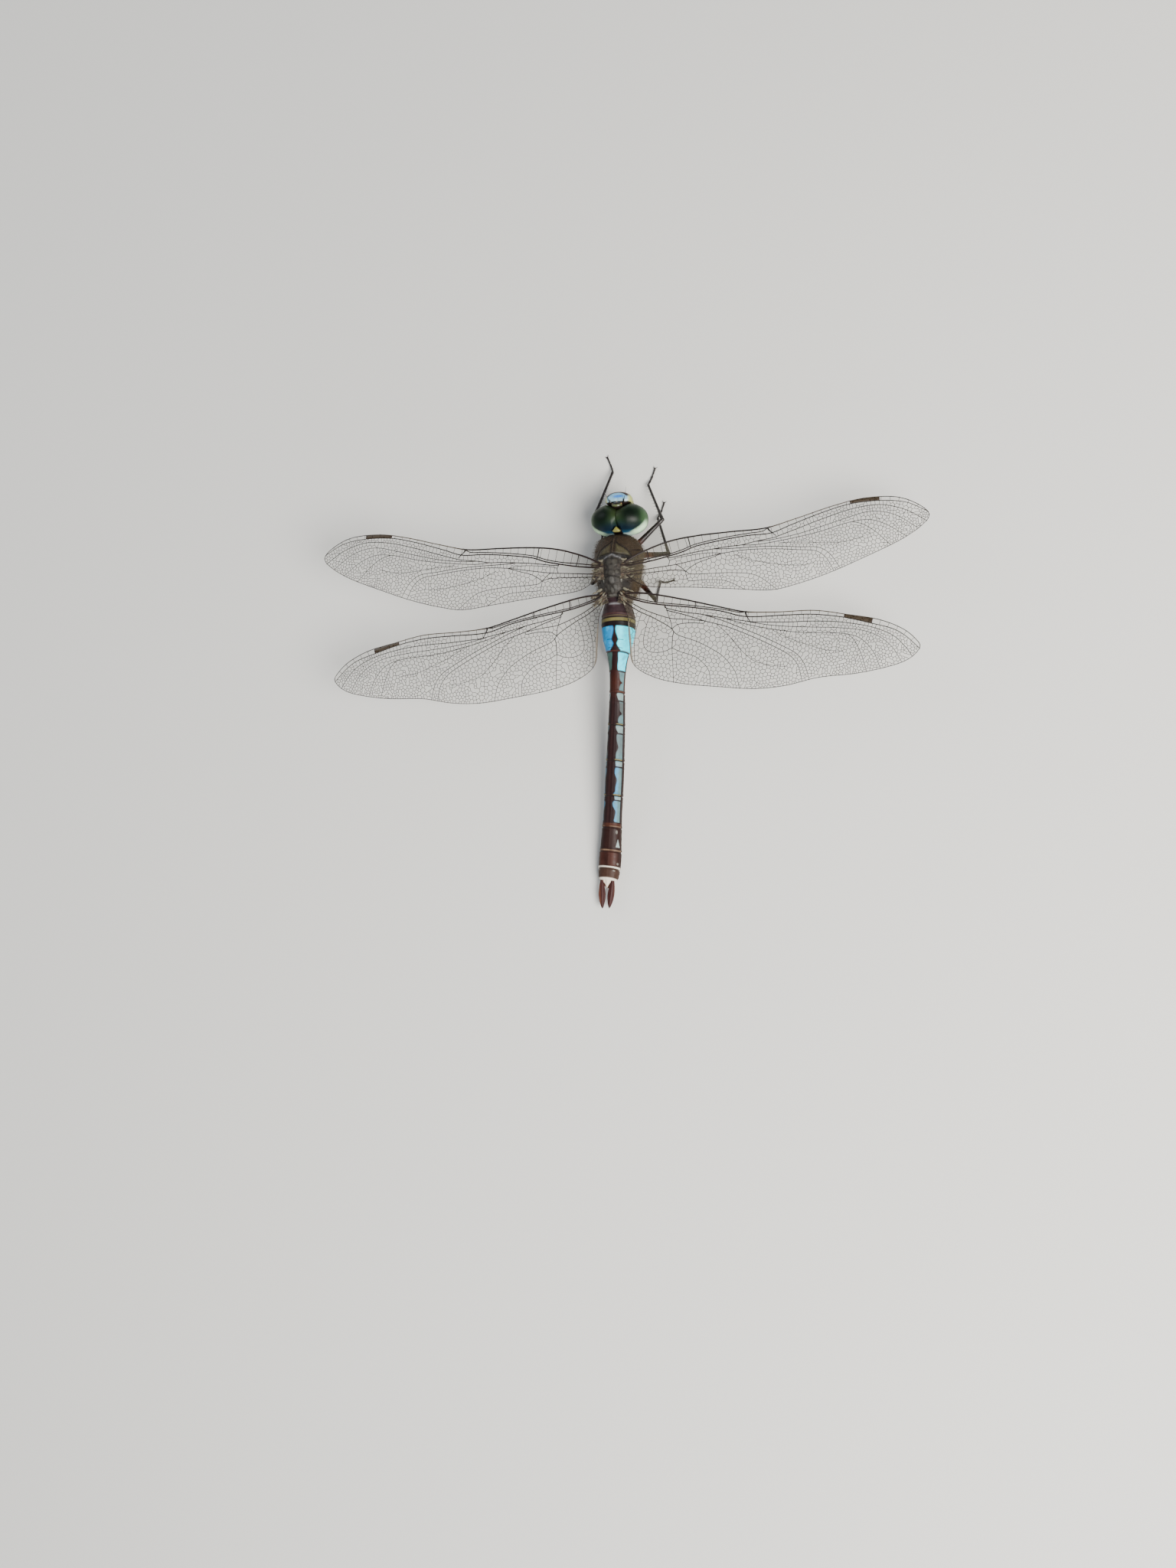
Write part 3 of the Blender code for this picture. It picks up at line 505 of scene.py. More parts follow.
def rod(path, radii, sides=8, flatness=1.0, overhead=(0, 0, 1)):
    """Points and faces of a tapering rod along a path."""
    path = np.asarray(path, float)
    radii = np.broadcast_to(np.asarray(radii, float), (len(path),))
    along = unit(np.gradient(path, axis=0))
    across = unit(np.cross(along, np.array(overhead, float)))
    upward = np.cross(across, along)
    angles = np.arange(sides) / sides * math.tau
    ring = (np.cos(angles)[None, :, None] * across[:, None]
            + flatness * np.sin(angles)[None, :, None] * upward[:, None])
    return through_rings(path[:, None] + ring * radii[:, None, None])


def block(centre, half_sizes, plan_power=2.0, side_power=2.0, rows=28, columns=44):
    """Points and faces of a rounded block, and the outward direction of each point from its middle."""
    heights = np.arange(1, rows) / rows * math.pi
    angles = np.arange(columns) / columns * math.tau
    across, along = superellipse(angles, plan_power)
    width = np.sin(heights) ** (2 / side_power)
    up = np.sign(np.cos(heights)) * abs(np.cos(heights)) ** (2 / side_power)
    way = np.stack([width[:, None] * across, width[:, None] * along,
                    np.repeat(up[:, None], columns, axis=1)], axis=-1)
    way_points, faces = through_rings(way)
    way_points[-2:] = ((0, 0, 1), (0, 0, -1))
    return np.array(centre) + way_points * np.array(half_sizes), faces, unit(way_points)


def coloured(shape, colour):
    """A shape with one colour all over, from its points and faces."""
    points, faces = shape[:2]
    return points, faces, plain(points, colour)


def join(parts):
    """One shape from several."""
    points, faces, colours, count = [], [], [], 0
    for part_points, part_faces, part_colours in parts:
        points.append(part_points)
        faces += [tuple(i + count for i in face) for face in part_faces]
        colours.append(part_colours)
        count += len(part_points)
    return np.vstack(points), faces, np.vstack(colours)


def in_scene(name, data):
    """A new object of the scene that holds some data."""
    made = bpy.data.objects.new(name, data)
    bpy.context.scene.collection.objects.link(made)
    return made


def piece(name, shape, material, slot=None, replaced=()):
    """A named piece of the model from a shape, with the colours as the attribute that materials read."""
    points, faces, colours = shape
    mesh = bpy.data.meshes.new(name)
    mesh.from_pydata((np.asarray(points) * MM + ROOT).tolist(), [], faces)
    work = bmesh.new()
    work.from_mesh(mesh)
    bmesh.ops.recalc_face_normals(work, faces=work.faces)
    work.to_mesh(mesh)
    work.free()
    attribute = mesh.attributes.new("paint", "FLOAT_COLOR", "POINT")
    rgba = np.hstack([np.clip(colours, 0, 1), np.ones((len(colours), 1))])
    attribute.data.foreach_set("color", rgba.astype(np.float32).ravel())
    mesh.shade_smooth()
    mesh.materials.append(material)
    made = in_scene(name, mesh)
    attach(made, "root")
    if replaced:
        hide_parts(*replaced)
    return made


# ---------------------------------------------------------------- materials

def add(tree, kind, **values):
    """A new node with the values of its sockets."""
    node = tree.nodes.new(kind)
    for key, value in values.items():
        node.inputs[key.replace("_", " ")].default_value = value
    return node


def painted(name, roughness, mottle=0.25, mottle_scale=2500, grain=0.3, grain_scale=9000, grain_height=0.004,
            coat=0.0, specular=0.5, pores=False, gloss_change=0.1):
    """A cuticle: the painted colour, mottled, with a fine grain and a gloss that changes a little.

    Scales count features in a metre, and grain_height is in millimetres.
    """
    material = bpy.data.materials.new(name)
    material.use_nodes = True
    tree = material.node_tree
    shader = tree.nodes["Principled BSDF"]
    shader.inputs["Coat Weight"].default_value = coat
    shader.inputs["Coat Roughness"].default_value = 0.12
    shader.inputs["Specular IOR Level"].default_value = specular
    link = tree.links.new
    place = tree.nodes.new("ShaderNodeTexCoord").outputs["Object"]
    paint = tree.nodes.new("ShaderNodeAttribute")
    paint.attribute_name = "paint"
    cloud = add(tree, "ShaderNodeTexNoise", Scale=mottle_scale, Detail=5.0, Roughness=0.6)
    link(place, cloud.inputs["Vector"])
    spread = add(tree, "ShaderNodeMapRange", From_Min=0.3, From_Max=0.7,
                 To_Min=1 - mottle, To_Max=1 + mottle)
    link(cloud.outputs["Fac"], spread.inputs["Value"])
    scaled = tree.nodes.new("ShaderNodeVectorMath")
    scaled.operation = "SCALE"
    link(paint.outputs["Color"], scaled.inputs[0])
    link(spread.outputs["Result"], scaled.inputs["Scale"])
    link(scaled.outputs["Vector"], shader.inputs["Base Color"])
    gloss = add(tree, "ShaderNodeMapRange", From_Min=0.3, From_Max=0.7,
                To_Min=roughness - gloss_change, To_Max=roughness + gloss_change)
    link(cloud.outputs["Fac"], gloss.inputs["Value"])
    link(gloss.outputs["Result"], shader.inputs["Roughness"])
    if pores:
        fine = add(tree, "ShaderNodeTexVoronoi", Scale=grain_scale)
        height = fine.outputs["Distance"]
    else:
        fine = add(tree, "ShaderNodeTexNoise", Scale=grain_scale, Detail=3.0)
        height = fine.outputs["Fac"]
    link(place, fine.inputs["Vector"])
    relief = add(tree, "ShaderNodeBump", Strength=grain, Distance=grain_height * MM)
    link(height, relief.inputs["Height"])
    link(relief.outputs["Normal"], shader.inputs["Normal"])
    return material


def membrane_material():
    """Clear, faintly smoky film; its gloss changes a little from cell to cell."""
    material = bpy.data.materials.new("wing_membrane")
    material.use_nodes = True
    tree = material.node_tree
    shader = tree.nodes["Principled BSDF"]
    shader.inputs["Alpha"].default_value = 0.07
    shader.inputs["Specular IOR Level"].default_value = 0.8
    cloud = add(tree, "ShaderNodeTexNoise", Scale=700.0, Detail=2.0)
    tree.links.new(tree.nodes.new("ShaderNodeTexCoord").outputs["Object"], cloud.inputs["Vector"])
    tint = tree.nodes.new("ShaderNodeMix")
    tint.data_type = "RGBA"
    tint.inputs["A"].default_value = (*screen(104, 98, 76), 1)
    tint.inputs["B"].default_value = (*screen(140, 134, 110), 1)
    tree.links.new(cloud.outputs["Fac"], tint.inputs["Factor"])
    tree.links.new(tint.outputs["Result"], shader.inputs["Base Color"])
    gloss = add(tree, "ShaderNodeMapRange", To_Min=0.12, To_Max=0.3)
    tree.links.new(cloud.outputs["Fac"], gloss.inputs["Value"])
    tree.links.new(gloss.outputs["Result"], shader.inputs["Roughness"])
    return material


# ---------------------------------------------------------------- wings

class Wing:
    """One wing's edges, veins and folds, in millimetres along u (outward) and v (toward the tail)."""

    def __init__(self, kind, label):
        facts = WINGS[kind]
        self.label, self.facts = label, facts
        self.side = 1 if label == "left" else -1
        self.length = facts["length"]
        edge = smooth_path([*facts["front"], *facts["back"]], 2 * WING_EDGE_STEPS) * self.length
        tip = int(edge[:, 0].argmax())
        self.front, self.back = edge[:tip + 1], edge[tip:]
        self.paths = {name: self.run_out(smooth_path(points, 12 * len(points)) * self.length)
                      for name, (_, _, points) in facts["veins"].items()}
        self.fold_columns()

    def front_at(self, u):
        """The v of the front edge at a distance u along the wing."""
        return np.interp(u, self.front[:, 0], self.front[:, 1])

    def back_at(self, u):
        """The v of the rear edge."""
        return np.interp(u, self.back[::-1, 0], self.back[::-1, 1])

    def room(self, place):
        """How far a place is inside the wing's edge, roughly."""
        return min(place[1] - self.front_at(place[0]), self.back_at(place[0]) - place[1],
                   self.length - place[0])

    def run_out(self, path):
        """A vein that ends close to the wing's edge is led on to meet it."""
        if self.room(path[-1]) > RUN_OUT_REACH:
            return path
        step = unit(path[-1] - path[-4]) * 0.1
        points = [p for p in path if self.room(p) > EDGE_GAP]
        while self.room(points[-1]) > EDGE_GAP and len(points) < len(path) + 40:
            points.append(points[-1] + step)
        return np.array(points)

    def fold_marks(self, u):
        """Sorted (v, height) of the edges and of the veins that the wing is folded at, at a distance u."""
        marks = [(self.front_at(u), FRONT_FOLD), (self.back_at(u), 0.0)]
        for name, height in FOLDS.items():
            path = self.paths.get(name)
            if path is not None and path[0, 0] <= u <= path[:, 0].max():
                order = np.argsort(path[:, 0])
                marks.append((np.interp(u, path[order, 0], path[order, 1]), height))
        return sorted(marks)

    def fold_columns(self):
        """Tabulates the folded height at even distances across the wing, for each distance along it."""
        self.fold_u = np.linspace(0, self.length, 120)
        self.fold_share = np.linspace(0, 1, 60)
        table = np.zeros((len(self.fold_u), len(self.fold_share)))
        for row, u in enumerate(self.fold_u):
            front, back = self.front_at(u), self.back_at(u)
            v, heights = zip(*self.fold_marks(u))
            fade = 1 - 0.6 * u / self.length
            table[row] = np.interp(front + self.fold_share * (back - front), v, heights) * fade
        for _ in range(3):
            table[1:-1] = (table[:-2] + 2 * table[1:-1] + table[2:]) / 4
        self.fold_table = table

    def fold(self, u, v):
        """The folded height at places on the wing, read from the table."""
        front, back = self.front_at(u), self.back_at(u)
        share = np.clip((v - front) / np.maximum(back - front, 1e-6), 0, 1) * (len(self.fold_share) - 1)
        row = np.clip(u / self.length, 0, 1) * (len(self.fold_u) - 1)
        r = np.minimum(row.astype(int), len(self.fold_u) - 2)
        s = np.minimum(share.astype(int), len(self.fold_share) - 2)
        a, b, table = row - r, share - s, self.fold_table
        return ((table[r, s] * (1 - b) + table[r, s + 1] * b) * (1 - a)
                + (table[r + 1, s] * (1 - b) + table[r + 1, s + 1] * b) * a)

    def lifted(self, flat):
        """Points (u, v) with the folded height as the third number."""
        flat = np.asarray(flat, float)
        return np.column_stack([flat[:, 0], flat[:, 1], self.fold(flat[:, 0], flat[:, 1])])

    def placed(self, points):
        """Wing points in the animal's own frame."""
        droop = math.radians(self.side * WING_DROOP[self.label])
        sweep = math.radians(self.side * self.facts["sweep"][self.label])
        x, y, z = points[:, 0] * self.side, points[:, 1], points[:, 2]
        x, z = x * math.cos(droop) + z * math.sin(droop), z * math.cos(droop) - x * math.sin(droop)
        x, y = x * math.cos(sweep) - y * math.sin(sweep), x * math.sin(sweep) + y * math.cos(sweep)
        rx, ry, rz = self.facts["root"]
        return np.column_stack([x + self.side * rx, y + ry, z + rz])


def ladder_seeds(places):
    """Seeds in one row along the middle of a narrow field, so that its walls stand like rungs."""
    u, v = places.T
    seeds = []
    count = max(1, round((u.max() - u.min()) / LADDER_SPACING))
    for number in range(count):
        at = u.min() + (number + 0.5) * (u.max() - u.min()) / count
        near = abs(u - at) < FIELD_STEP
        if near.any():
            seeds.append((at, (v[near].min() + v[near].max()) / 2))
    return np.array(seeds or [places.mean(axis=0)])


def field_seeds(wing, places, sizes, draw):
    """One row of seeds ahead of the radius, none in the clear space at the root, a settled net elsewhere."""
    radius = wing.paths["radius"]
    ahead = places[:, 1] < np.interp(places[:, 0], radius[:, 0], radius[:, 1])
    if ahead.mean() > 0.8:
        return ladder_seeds(places)
    arculus = wing.paths["arculus"]
    if places[:, 0].max() < arculus[:, 0].max() + 0.5 and places[:, 1].mean() < arculus[-1, 1]:
        return places.mean(axis=0)[None]
    return settle(places, sizes, draw)


def cell_size(wing, u, v):
    """The wanted width of a cell at a place on the wing."""
    size = np.interp(u / wing.length, (0, 0.75, 1), (CELL_SIZES[0], CELL_SIZES[1], CELL_SIZES[1] * 0.9))
    to_edge = np.clip((wing.back_at(u) - v) / CELL_EDGE_REACH, 0, 1)
    return size * (CELL_EDGE_SHARE + (1 - CELL_EDGE_SHARE) * to_edge)


def flood(free):
    """Numbers the connected fields of a grid, from 0, with -1 elsewhere."""
    height, width = free.shape
    labels = [-1] * (height * width)
    open_cells = free.ravel().tolist()
    count = 0
    for start in range(height * width):
        if not open_cells[start]:
            continue
        stack = [start]
        open_cells[start] = False
        while stack:
            at = stack.pop()
            labels[at] = count
            for step in (1, -1, width, -width):
                to = at + step
                if 0 <= to < height * width and open_cells[to]:
                    open_cells[to] = False
                    stack.append(to)
        count += 1
    return np.array(labels).reshape(height, width), count


def nearest(places, seeds):
    """The number of the seed nearest to each place, worked out in blocks to spare memory."""
    found = np.empty(len(places), int)
    for start in range(0, len(places), 4096):
        part = places[start:start + 4096]
        away = ((part[:, None] - seeds[None]) ** 2).sum(axis=2)
        found[start:start + 4096] = away.argmin(axis=1)
    return found


def settle(places, sizes, draw):
    """Seeds spread over a field so that each lies in the middle of its own cell."""
    area = (FIELD_STEP ** 2 / sizes ** 2).sum()
    reach = places[:, 0].max() - places[:, 0].min()
    count = min(max(1, round(area), round(reach / RUNG_SPACING)), len(places))
    weights = 1 / sizes ** 2
    seeds = places[draw.choice(len(places), size=count, replace=False, p=weights / weights.sum())]
    some = slice(None, None, 4 if len(places) > 4000 else 1)
    for _ in range(RELAX_ROUNDS):
        owner = nearest(places[some], seeds)
        total = np.bincount(owner, weights[some], len(seeds))
        middle = np.column_stack([np.bincount(owner, places[some][:, k] * weights[some], len(seeds))
                                  for k in (0, 1)])
        kept = total > 0
        seeds[kept] = middle[kept] / total[kept, None]
    return seeds


def vein_marks(wing, u, v):
    """Which places of the grid the named veins run through."""
    wall = np.zeros((len(v), len(u)), bool)
    for path in wing.paths.values():
        spans = [np.linspace(a, b, 2 + int(np.linalg.norm(b - a) / FIELD_STEP * 2.5))
                 for a, b in zip(path, path[1:])]
        dots = np.vstack(spans)
        column = np.clip(np.round((dots[:, 0] - u[0]) / FIELD_STEP).astype(int), 0, len(u) - 1)
        row = np.clip(np.round((dots[:, 1] - v[0]) / FIELD_STEP).astype(int), 0, len(v) - 1)
        wall[row, column] = True
    return wall


def fields_between_veins(wing, u, v, grid_u, grid_v):
    """The numbered fields between the veins, grown again over the places that the veins took."""
    inside = (grid_v > wing.front_at(grid_u)) & (grid_v < wing.back_at(grid_u)) & (grid_u > 0) & (
        grid_u < wing.length)
    fields, count = flood(inside & ~vein_marks(wing, u, v))
    for _ in range(3):
        for axis, step in ((0, 1), (0, -1), (1, 1), (1, -1)):
            moved = np.roll(fields, step, axis=axis)
            fields = np.where((fields < 0) & inside, moved, fields)
    return fields, count


def cell_walls(wing, draw):
    """The fine net of cross veins: pairs of (u, v) ends, found where three cells of the wing meet."""
    u = np.arange(-FIELD_MARGIN, wing.length + FIELD_MARGIN, FIELD_STEP)
    v = np.arange(wing.front[:, 1].min() - FIELD_MARGIN, wing.back[:, 1].max() + FIELD_MARGIN, FIELD_STEP)
    grid_u, grid_v = np.meshgrid(u, v)
    fields, count = fields_between_veins(wing, u, v, grid_u, grid_v)
    sizes = cell_size(wing, grid_u, grid_v)
    cells = np.full(fields.shape, -1)
    field_of, total = [], 0
    flat_fields = fields.ravel()
    order = np.argsort(flat_fields, kind="stable")
    starts = np.searchsorted(flat_fields[order], np.arange(count + 1))
    for number in range(count):
        where = order[starts[number]:starts[number + 1]]
        if len(where) < SMALLEST_FIELD:
            continue
        places = np.column_stack([grid_u.ravel()[where], grid_v.ravel()[where]])
        seeds = field_seeds(wing, places, sizes.ravel()[where], draw)
        cells.ravel()[where] = total + nearest(places, seeds)
        field_of += [number] * len(seeds)
        total += len(seeds)
    return net(cells, np.array(field_of), u, v)


def touching_groups(windows):
    """Lists of the grid windows that touch one another, also corner to corner."""
    while windows:
        stack = [windows.pop()]
        group = []
        while stack:
            i, j = stack.pop()
            group.append((i, j))
            for near in [(i + a, j + b) for a in (-1, 0, 1) for b in (-1, 0, 1)]:
                if near in windows:
                    windows.remove(near)
                    stack.append(near)
        yield group


def meeting_points(cells, u, v):
    """The places where three or more cells meet, and the cells round each."""
    corners = np.stack([cells[:-1, :-1], cells[:-1, 1:], cells[1:, :-1], cells[1:, 1:]], axis=-1)
    ordered = np.sort(corners, axis=-1)
    meets = (np.diff(ordered, axis=-1) != 0).sum(axis=-1) >= 2
    at, around = [], []
    for group in touching_groups({(int(i), int(j)) for i, j in zip(*np.nonzero(meets))}):
        middle = np.mean(group, axis=0) + 0.5
        at.append((u[0] + middle[1] * FIELD_STEP, v[0] + middle[0] * FIELD_STEP))
        around.append({int(c) for i, j in group for c in corners[i, j]})
    return np.array(at), around


def neighbours(cells, field_of):
    """Pairs of cells of one field that lie side by side, and the length of each pair's border."""
    beside = np.vstack([np.column_stack([cells[:, :-1].ravel(), cells[:, 1:].ravel()]),
                        np.column_stack([cells[:-1].ravel(), cells[1:].ravel()])])
    beside = beside[(beside[:, 0] != beside[:, 1]) & (beside.min(axis=1) >= 0)]
    beside.sort(axis=1)
    pairs, shared = np.unique(beside, axis=0, return_counts=True)
    kept = (shared >= 3) & (field_of[pairs[:, 0]] == field_of[pairs[:, 1]])
    return pairs[kept], shared[kept] * FIELD_STEP


def wall_ends(at, around, pairs, borders):
    """For each pair of cells, the numbers of the two meeting points that their wall runs between."""
    by_cell = {}
    for number, members in enumerate(around):
        for cell in members:
            by_cell.setdefault(cell, set()).add(number)
    walls = []
    for (a, b), border in zip(pairs, borders):
        ends = sorted(by_cell.get(int(a), set()) & by_cell.get(int(b), set()))
        if len(ends) >= 2:
            apart, first, last = max((float(np.linalg.norm(at[p] - at[q])), p, q)
                                     for k, p in enumerate(ends) for q in ends[k + 1:])
            if 0.12 < apart < 1.3 * border + 0.25:
                walls.append((first, last))
    return np.array(walls)


def net(cells, field_of, u, v):
    """Straight walls between the points where cells of one field meet, relaxed a little."""
    at, around = meeting_points(cells, u, v)
    walls = wall_ends(at, around, *neighbours(cells, field_of))
    loose = np.array([min(m) >= 0 and len({int(field_of[c]) for c in m}) == 1 for m in around])
    for _ in range(2):
        total, count = np.zeros_like(at), np.zeros(len(at))
        for one, other in ((0, 1), (1, 0)):
            np.add.at(total, walls[:, one], at[walls[:, other]])
            np.add.at(count, walls[:, one], 1)
        moves = loose & (count > 0)
        at[moves] += 0.45 * (total[moves] / count[moves, None] - at[moves])
    return at[walls[:, 0]], at[walls[:, 1]]


def slivers(start, end, radius):
    """Many thin straight bars as one shape."""
    along = unit(end - start)
    start, end = start - along * radius * 0.5, end + along * radius * 0.5
    across = unit(np.cross(along, np.array((0, 0, 1.0))))
    upward = np.cross(across, along)
    radius = np.broadcast_to(radius, (len(start), 1))
    ring = [across * radius, upward * radius, -across * radius, -upward * radius]
    points = np.stack([start + r for r in ring] + [end + r for r in ring], axis=1).reshape(-1, 3)
    first = np.arange(len(start))[:, None] * 8
    pattern = ((0, 1, 5, 4), (1, 2, 6, 5), (2, 3, 7, 6), (3, 0, 4, 7), (3, 2, 1, 0), (4, 5, 6, 7))
    faces = np.concatenate([first + np.array(p) for p in pattern]).tolist()
    return points, faces


def inset(path, depth, inward):
    """A path moved sideways by a depth, to the side where inward points."""
    along = unit(np.gradient(path, axis=0))
    normal = np.column_stack([-along[:, 1], along[:, 0]])
    normal *= np.sign((normal * inward).sum(axis=1))[:, None]
    return path + normal * np.asarray(depth).reshape(-1, 1)


def vein_paint(wing, flat, front_edge=False):
    """Black-brown veins, redder at the root; the front edge is pale from the nodus to the dark spot."""
    share = flat[:, 0] / wing.length
    paint = plain(flat, (22, 16, 13))
    lay(paint, 0.5 * (1 - rise(0.0, 0.3, share)), (36, 20, 17))
    if front_edge:
        pale = band(share, wing.facts["nodus"] + 0.01, wing.facts["stigma"][1], 0.02)
        lay(paint, 0.5 * pale, (84, 72, 56))
    return paint


def vein(wing, flat, radii, sides=6, flatness=1.0, front_edge=False):
    """A painted rod along a path of the folded wing."""
    points, faces = rod(wing.lifted(flat), radii, sides=sides, flatness=flatness)
    return points, faces, vein_paint(wing, points, front_edge)


def led_in(path, *steps):
    """A path that begins a few steps before its first point, so that its vein meets the body."""
    return np.vstack([path[0] + np.array(steps), path])


def front_vein(wing):
    """The thick vein along the front edge, thinner from the nodus on."""
    nodus = wing.facts["nodus"]
    share = wing.front[:, 0] / wing.length
    radii = np.interp(share, (0, 0.1, nodus, nodus + 0.04, 1), (0.17, 0.15, 0.12, 0.09, 0.065))
    path = led_in(inset(wing.front, radii, np.array((0, 1.0))), (-0.9, 0.25), (-0.4, 0.1))
    return vein(wing, path, np.concatenate([(0.21, 0.20), radii]), sides=8, flatness=0.9, front_edge=True)


def rear_vein(wing):
    """The thin vein along the rear edge."""
    depth = np.full(len(wing.back), REAR_MARGIN_RADIUS)
    return vein(wing, inset(wing.back, depth, np.array((-0.2, -1.0))), REAR_MARGIN_RADIUS * 0.75)


def named_vein(wing, name):
    """A vein that tapers from one radius to another, and is a little thicker near the root."""
    first, last, _ = wing.facts["veins"][name]
    path = wing.paths[name]
    if path[0, 0] < 0.01:
        path = led_in(path, (-0.8, -0.12), (-0.4, -0.04))
    thicker = np.interp(path[:, 0], (-0.8, 0.2, 3.5), (1.25, 1.05, 0.92))
    return vein(wing, path, np.linspace(first, last, len(path)) * thicker)


def main_crossing(wing, u):
    """A thick cross vein from the front edge to the radius, leaning outward."""
    radius = wing.paths["radius"]
    front, below = wing.front_at(u), np.interp(u + 0.25, radius[:, 0], radius[:, 1])
    return vein(wing, np.array([(u, front), (u + 0.12, (front + below) / 2), (u + 0.25, below)]), 0.09)


def nodus_knot(wing):
    """The slanting vein at the nodus, the notch half way along the front edge."""
    u = wing.facts["nodus"] * wing.length
    front = wing.front_at(u)
    steps = ((-0.15, 0.1), (0.05, 0.55), (0.5, 1.1), (1.15, 1.75))
    return vein(wing, np.array([(u + out, front + back) for out, back in steps]), (0.17, 0.13, 0.08, 0.06),
                sides=8)


def wing_veins(wing, draw):
    """All the veins of a wing, and the net between them, as one shape."""
    parts = [front_vein(wing), rear_vein(wing)]
    parts += [named_vein(wing, name) for name in wing.facts["veins"]]
    parts += [main_crossing(wing, share * wing.length) for share in wing.facts["main_crossings"]]
    parts.append(nodus_knot(wing))
    start, end = cell_walls(wing, draw)
    points, faces = slivers(wing.lifted(start), wing.lifted(end), CELL_RADIUS)
    parts.append((points, faces, vein_paint(wing, points)))
    return join(parts)


def plate(wing, grid, thickness, dome=0.0):
    """A closed thin plate on the folded wing, from a grid of (u, v) places."""
    rows, width = grid.shape[:2]
    flat = grid.reshape(-1, 2)
    share = np.linspace(0, 1, width)
    upper, lower = wing.lifted(flat), wing.lifted(flat)
    upper[:, 2] += thickness / 2 + dome * np.tile(4 * share * (1 - share), rows)
    lower[:, 2] -= thickness / 2
    count = rows * width
    index = np.arange(count).reshape(rows, width)
    quads = np.stack([index[:-1, :-1], index[1:, :-1], index[1:, 1:], index[:-1, 1:]], axis=-1)
    quads = quads.reshape(-1, 4)
    rim = [int(i) for i in (*index[0], *index[1:, -1], *index[-1, -2::-1], *index[-2:0:-1, 0])]
    sides = [(here, after, after + count, here + count) for here, after in zip(rim, rim[1:] + rim[:1])]
    faces = quads.tolist() + (quads[:, ::-1] + count).tolist() + sides
    return np.vstack([upper, lower]), faces


def between(u, front, back, columns):
    """A grid of places across the wing, from one line to another."""
    share = np.linspace(0, 1, columns + 1)
    v = front[:, None] + share[None] * (back - front)[:, None]
    return np.stack([np.repeat(u[:, None], columns + 1, axis=1), v], axis=-1)


def film(wing):
    """The clear membrane of the whole wing, from the middle of its edge veins inward."""
    share = (1 - np.cos(np.linspace(0, math.pi, 121))) / 2
    u = share * (wing.length - 2 * FILM_INSET) + 0.04
    front = wing.front_at(u)
    back = np.maximum(wing.back_at(u) - FILM_INSET, front + 0.08)
    grid = between(u, front + FILM_INSET, back, 36)
    return coloured(plate(wing, grid, MEMBRANE_THICKNESS), (130, 124, 100))


def stigma(wing):
    """The dark spot near the tip, between the front edge and the radius."""
    start, end = (share * wing.length for share in wing.facts["stigma"])
    u = np.linspace(start, end, 40)
    radius = wing.paths["radius"]
    back = np.interp(u, radius[:, 0], radius[:, 1]) - FILM_INSET
    points, faces = plate(wing, between(u, wing.front_at(u) + 0.1, back, 8), 0.14, 0.05)
    share = (points[:, 0] - start) / (end - start)
    paint = plain(points, (50, 40, 26))
    lay(paint, 1 - band(share, 0.03, 0.97, 0.03), BLACK_BROWN)
    return points, faces, paint


def root_skin(wing):
    """The leathery skin between the vein roots; it runs out farthest along the veins."""
    last = wing.paths["cubitus"][0, 1] + 0.5
    v = np.linspace(-0.15, last, 60)
    roots = [0.0] + [path[0, 1] for path in wing.paths.values() if path[0, 0] < 0.01]
    near = np.max([bump(v, root, 0.2) for root in roots], axis=0)
    reach = 0.55 + 1.5 * near + 0.2 * np.sin(v * 5)
    share = np.linspace(0, 1, 24)[:, None]
    grid = np.stack([-0.7 + share * (reach + 0.7)[None], np.repeat(v[None], 24, axis=0)], axis=-1)
    points, faces = plate(wing, grid, 0.10)
    points[:, 2] += 0.04 * wrinkle(points, 0.6, 41)
    paint = plain(points, (60, 53, 43))
    lay(paint, 0.8 * rise(0.0, 0.8, wrinkle(points, 0.9, 42)), (96, 92, 78))
    lay(paint, 0.8 * rise(0.1, 0.9, wrinkle(points, 0.7, 43)), (36, 29, 25))
    return points, faces, paint


def membranule(wing):
    """The pale flap at the inner rear corner of a hind wing."""
    start, end = 0.037, 0.088
    u = np.linspace(start, end, 24) * wing.length
    back = wing.back_at(u) - 0.04
    front = back - np.interp(u / wing.length, (start, 0.05, 0.062, end), (0.4, 1.0, 1.3, 0.12))
    return coloured(plate(wing, between(u, front, back, 8), 0.09), (112, 104, 92))


def build_wing(kind, label, materials):
    """The pieces of one wing: four, and on a hind wing a fifth."""
    wing = Wing(kind, label)
    name = f"wing_{kind}_{label}"
    draw = np.random.default_rng(WING_SEEDS[kind] + (label == "right"))

    def place(part, shape, material, *tags):
        points, faces, paint = shape
        piece(name + part, (wing.placed(points), faces, paint), materials[material], *tags)

    place("_veins", wing_veins(wing, draw), "vein")
    place("_membrane", film(wing), "membrane", "wing", (name,))
    place("_stigma", stigma(wing), "stigma")
    place("_root", root_skin(wing), "thorax")
    if kind == "hind":
        place("_membranule", membranule(wing), "pruina")


# ---------------------------------------------------------------- trunk

def thorax_point(y, angle):
    """Points of the trunk's plain form, by distance along it and angle round it from its left side up."""
    half_width, bottom, top, narrowing = (smooth_value([(s[0], s[k]) for s in THORAX_STATIONS], y)
                                          for k in (1, 2, 3, 4))
    across, up = superellipse(angle, 2.2)
    pinch = 1 - narrowing * np.maximum(up, 0) ** 2
    height = (bottom + top) / 2 + up * (top - bottom) / 2
    return np.stack([across * half_width * pinch, y, height], axis=-1), up


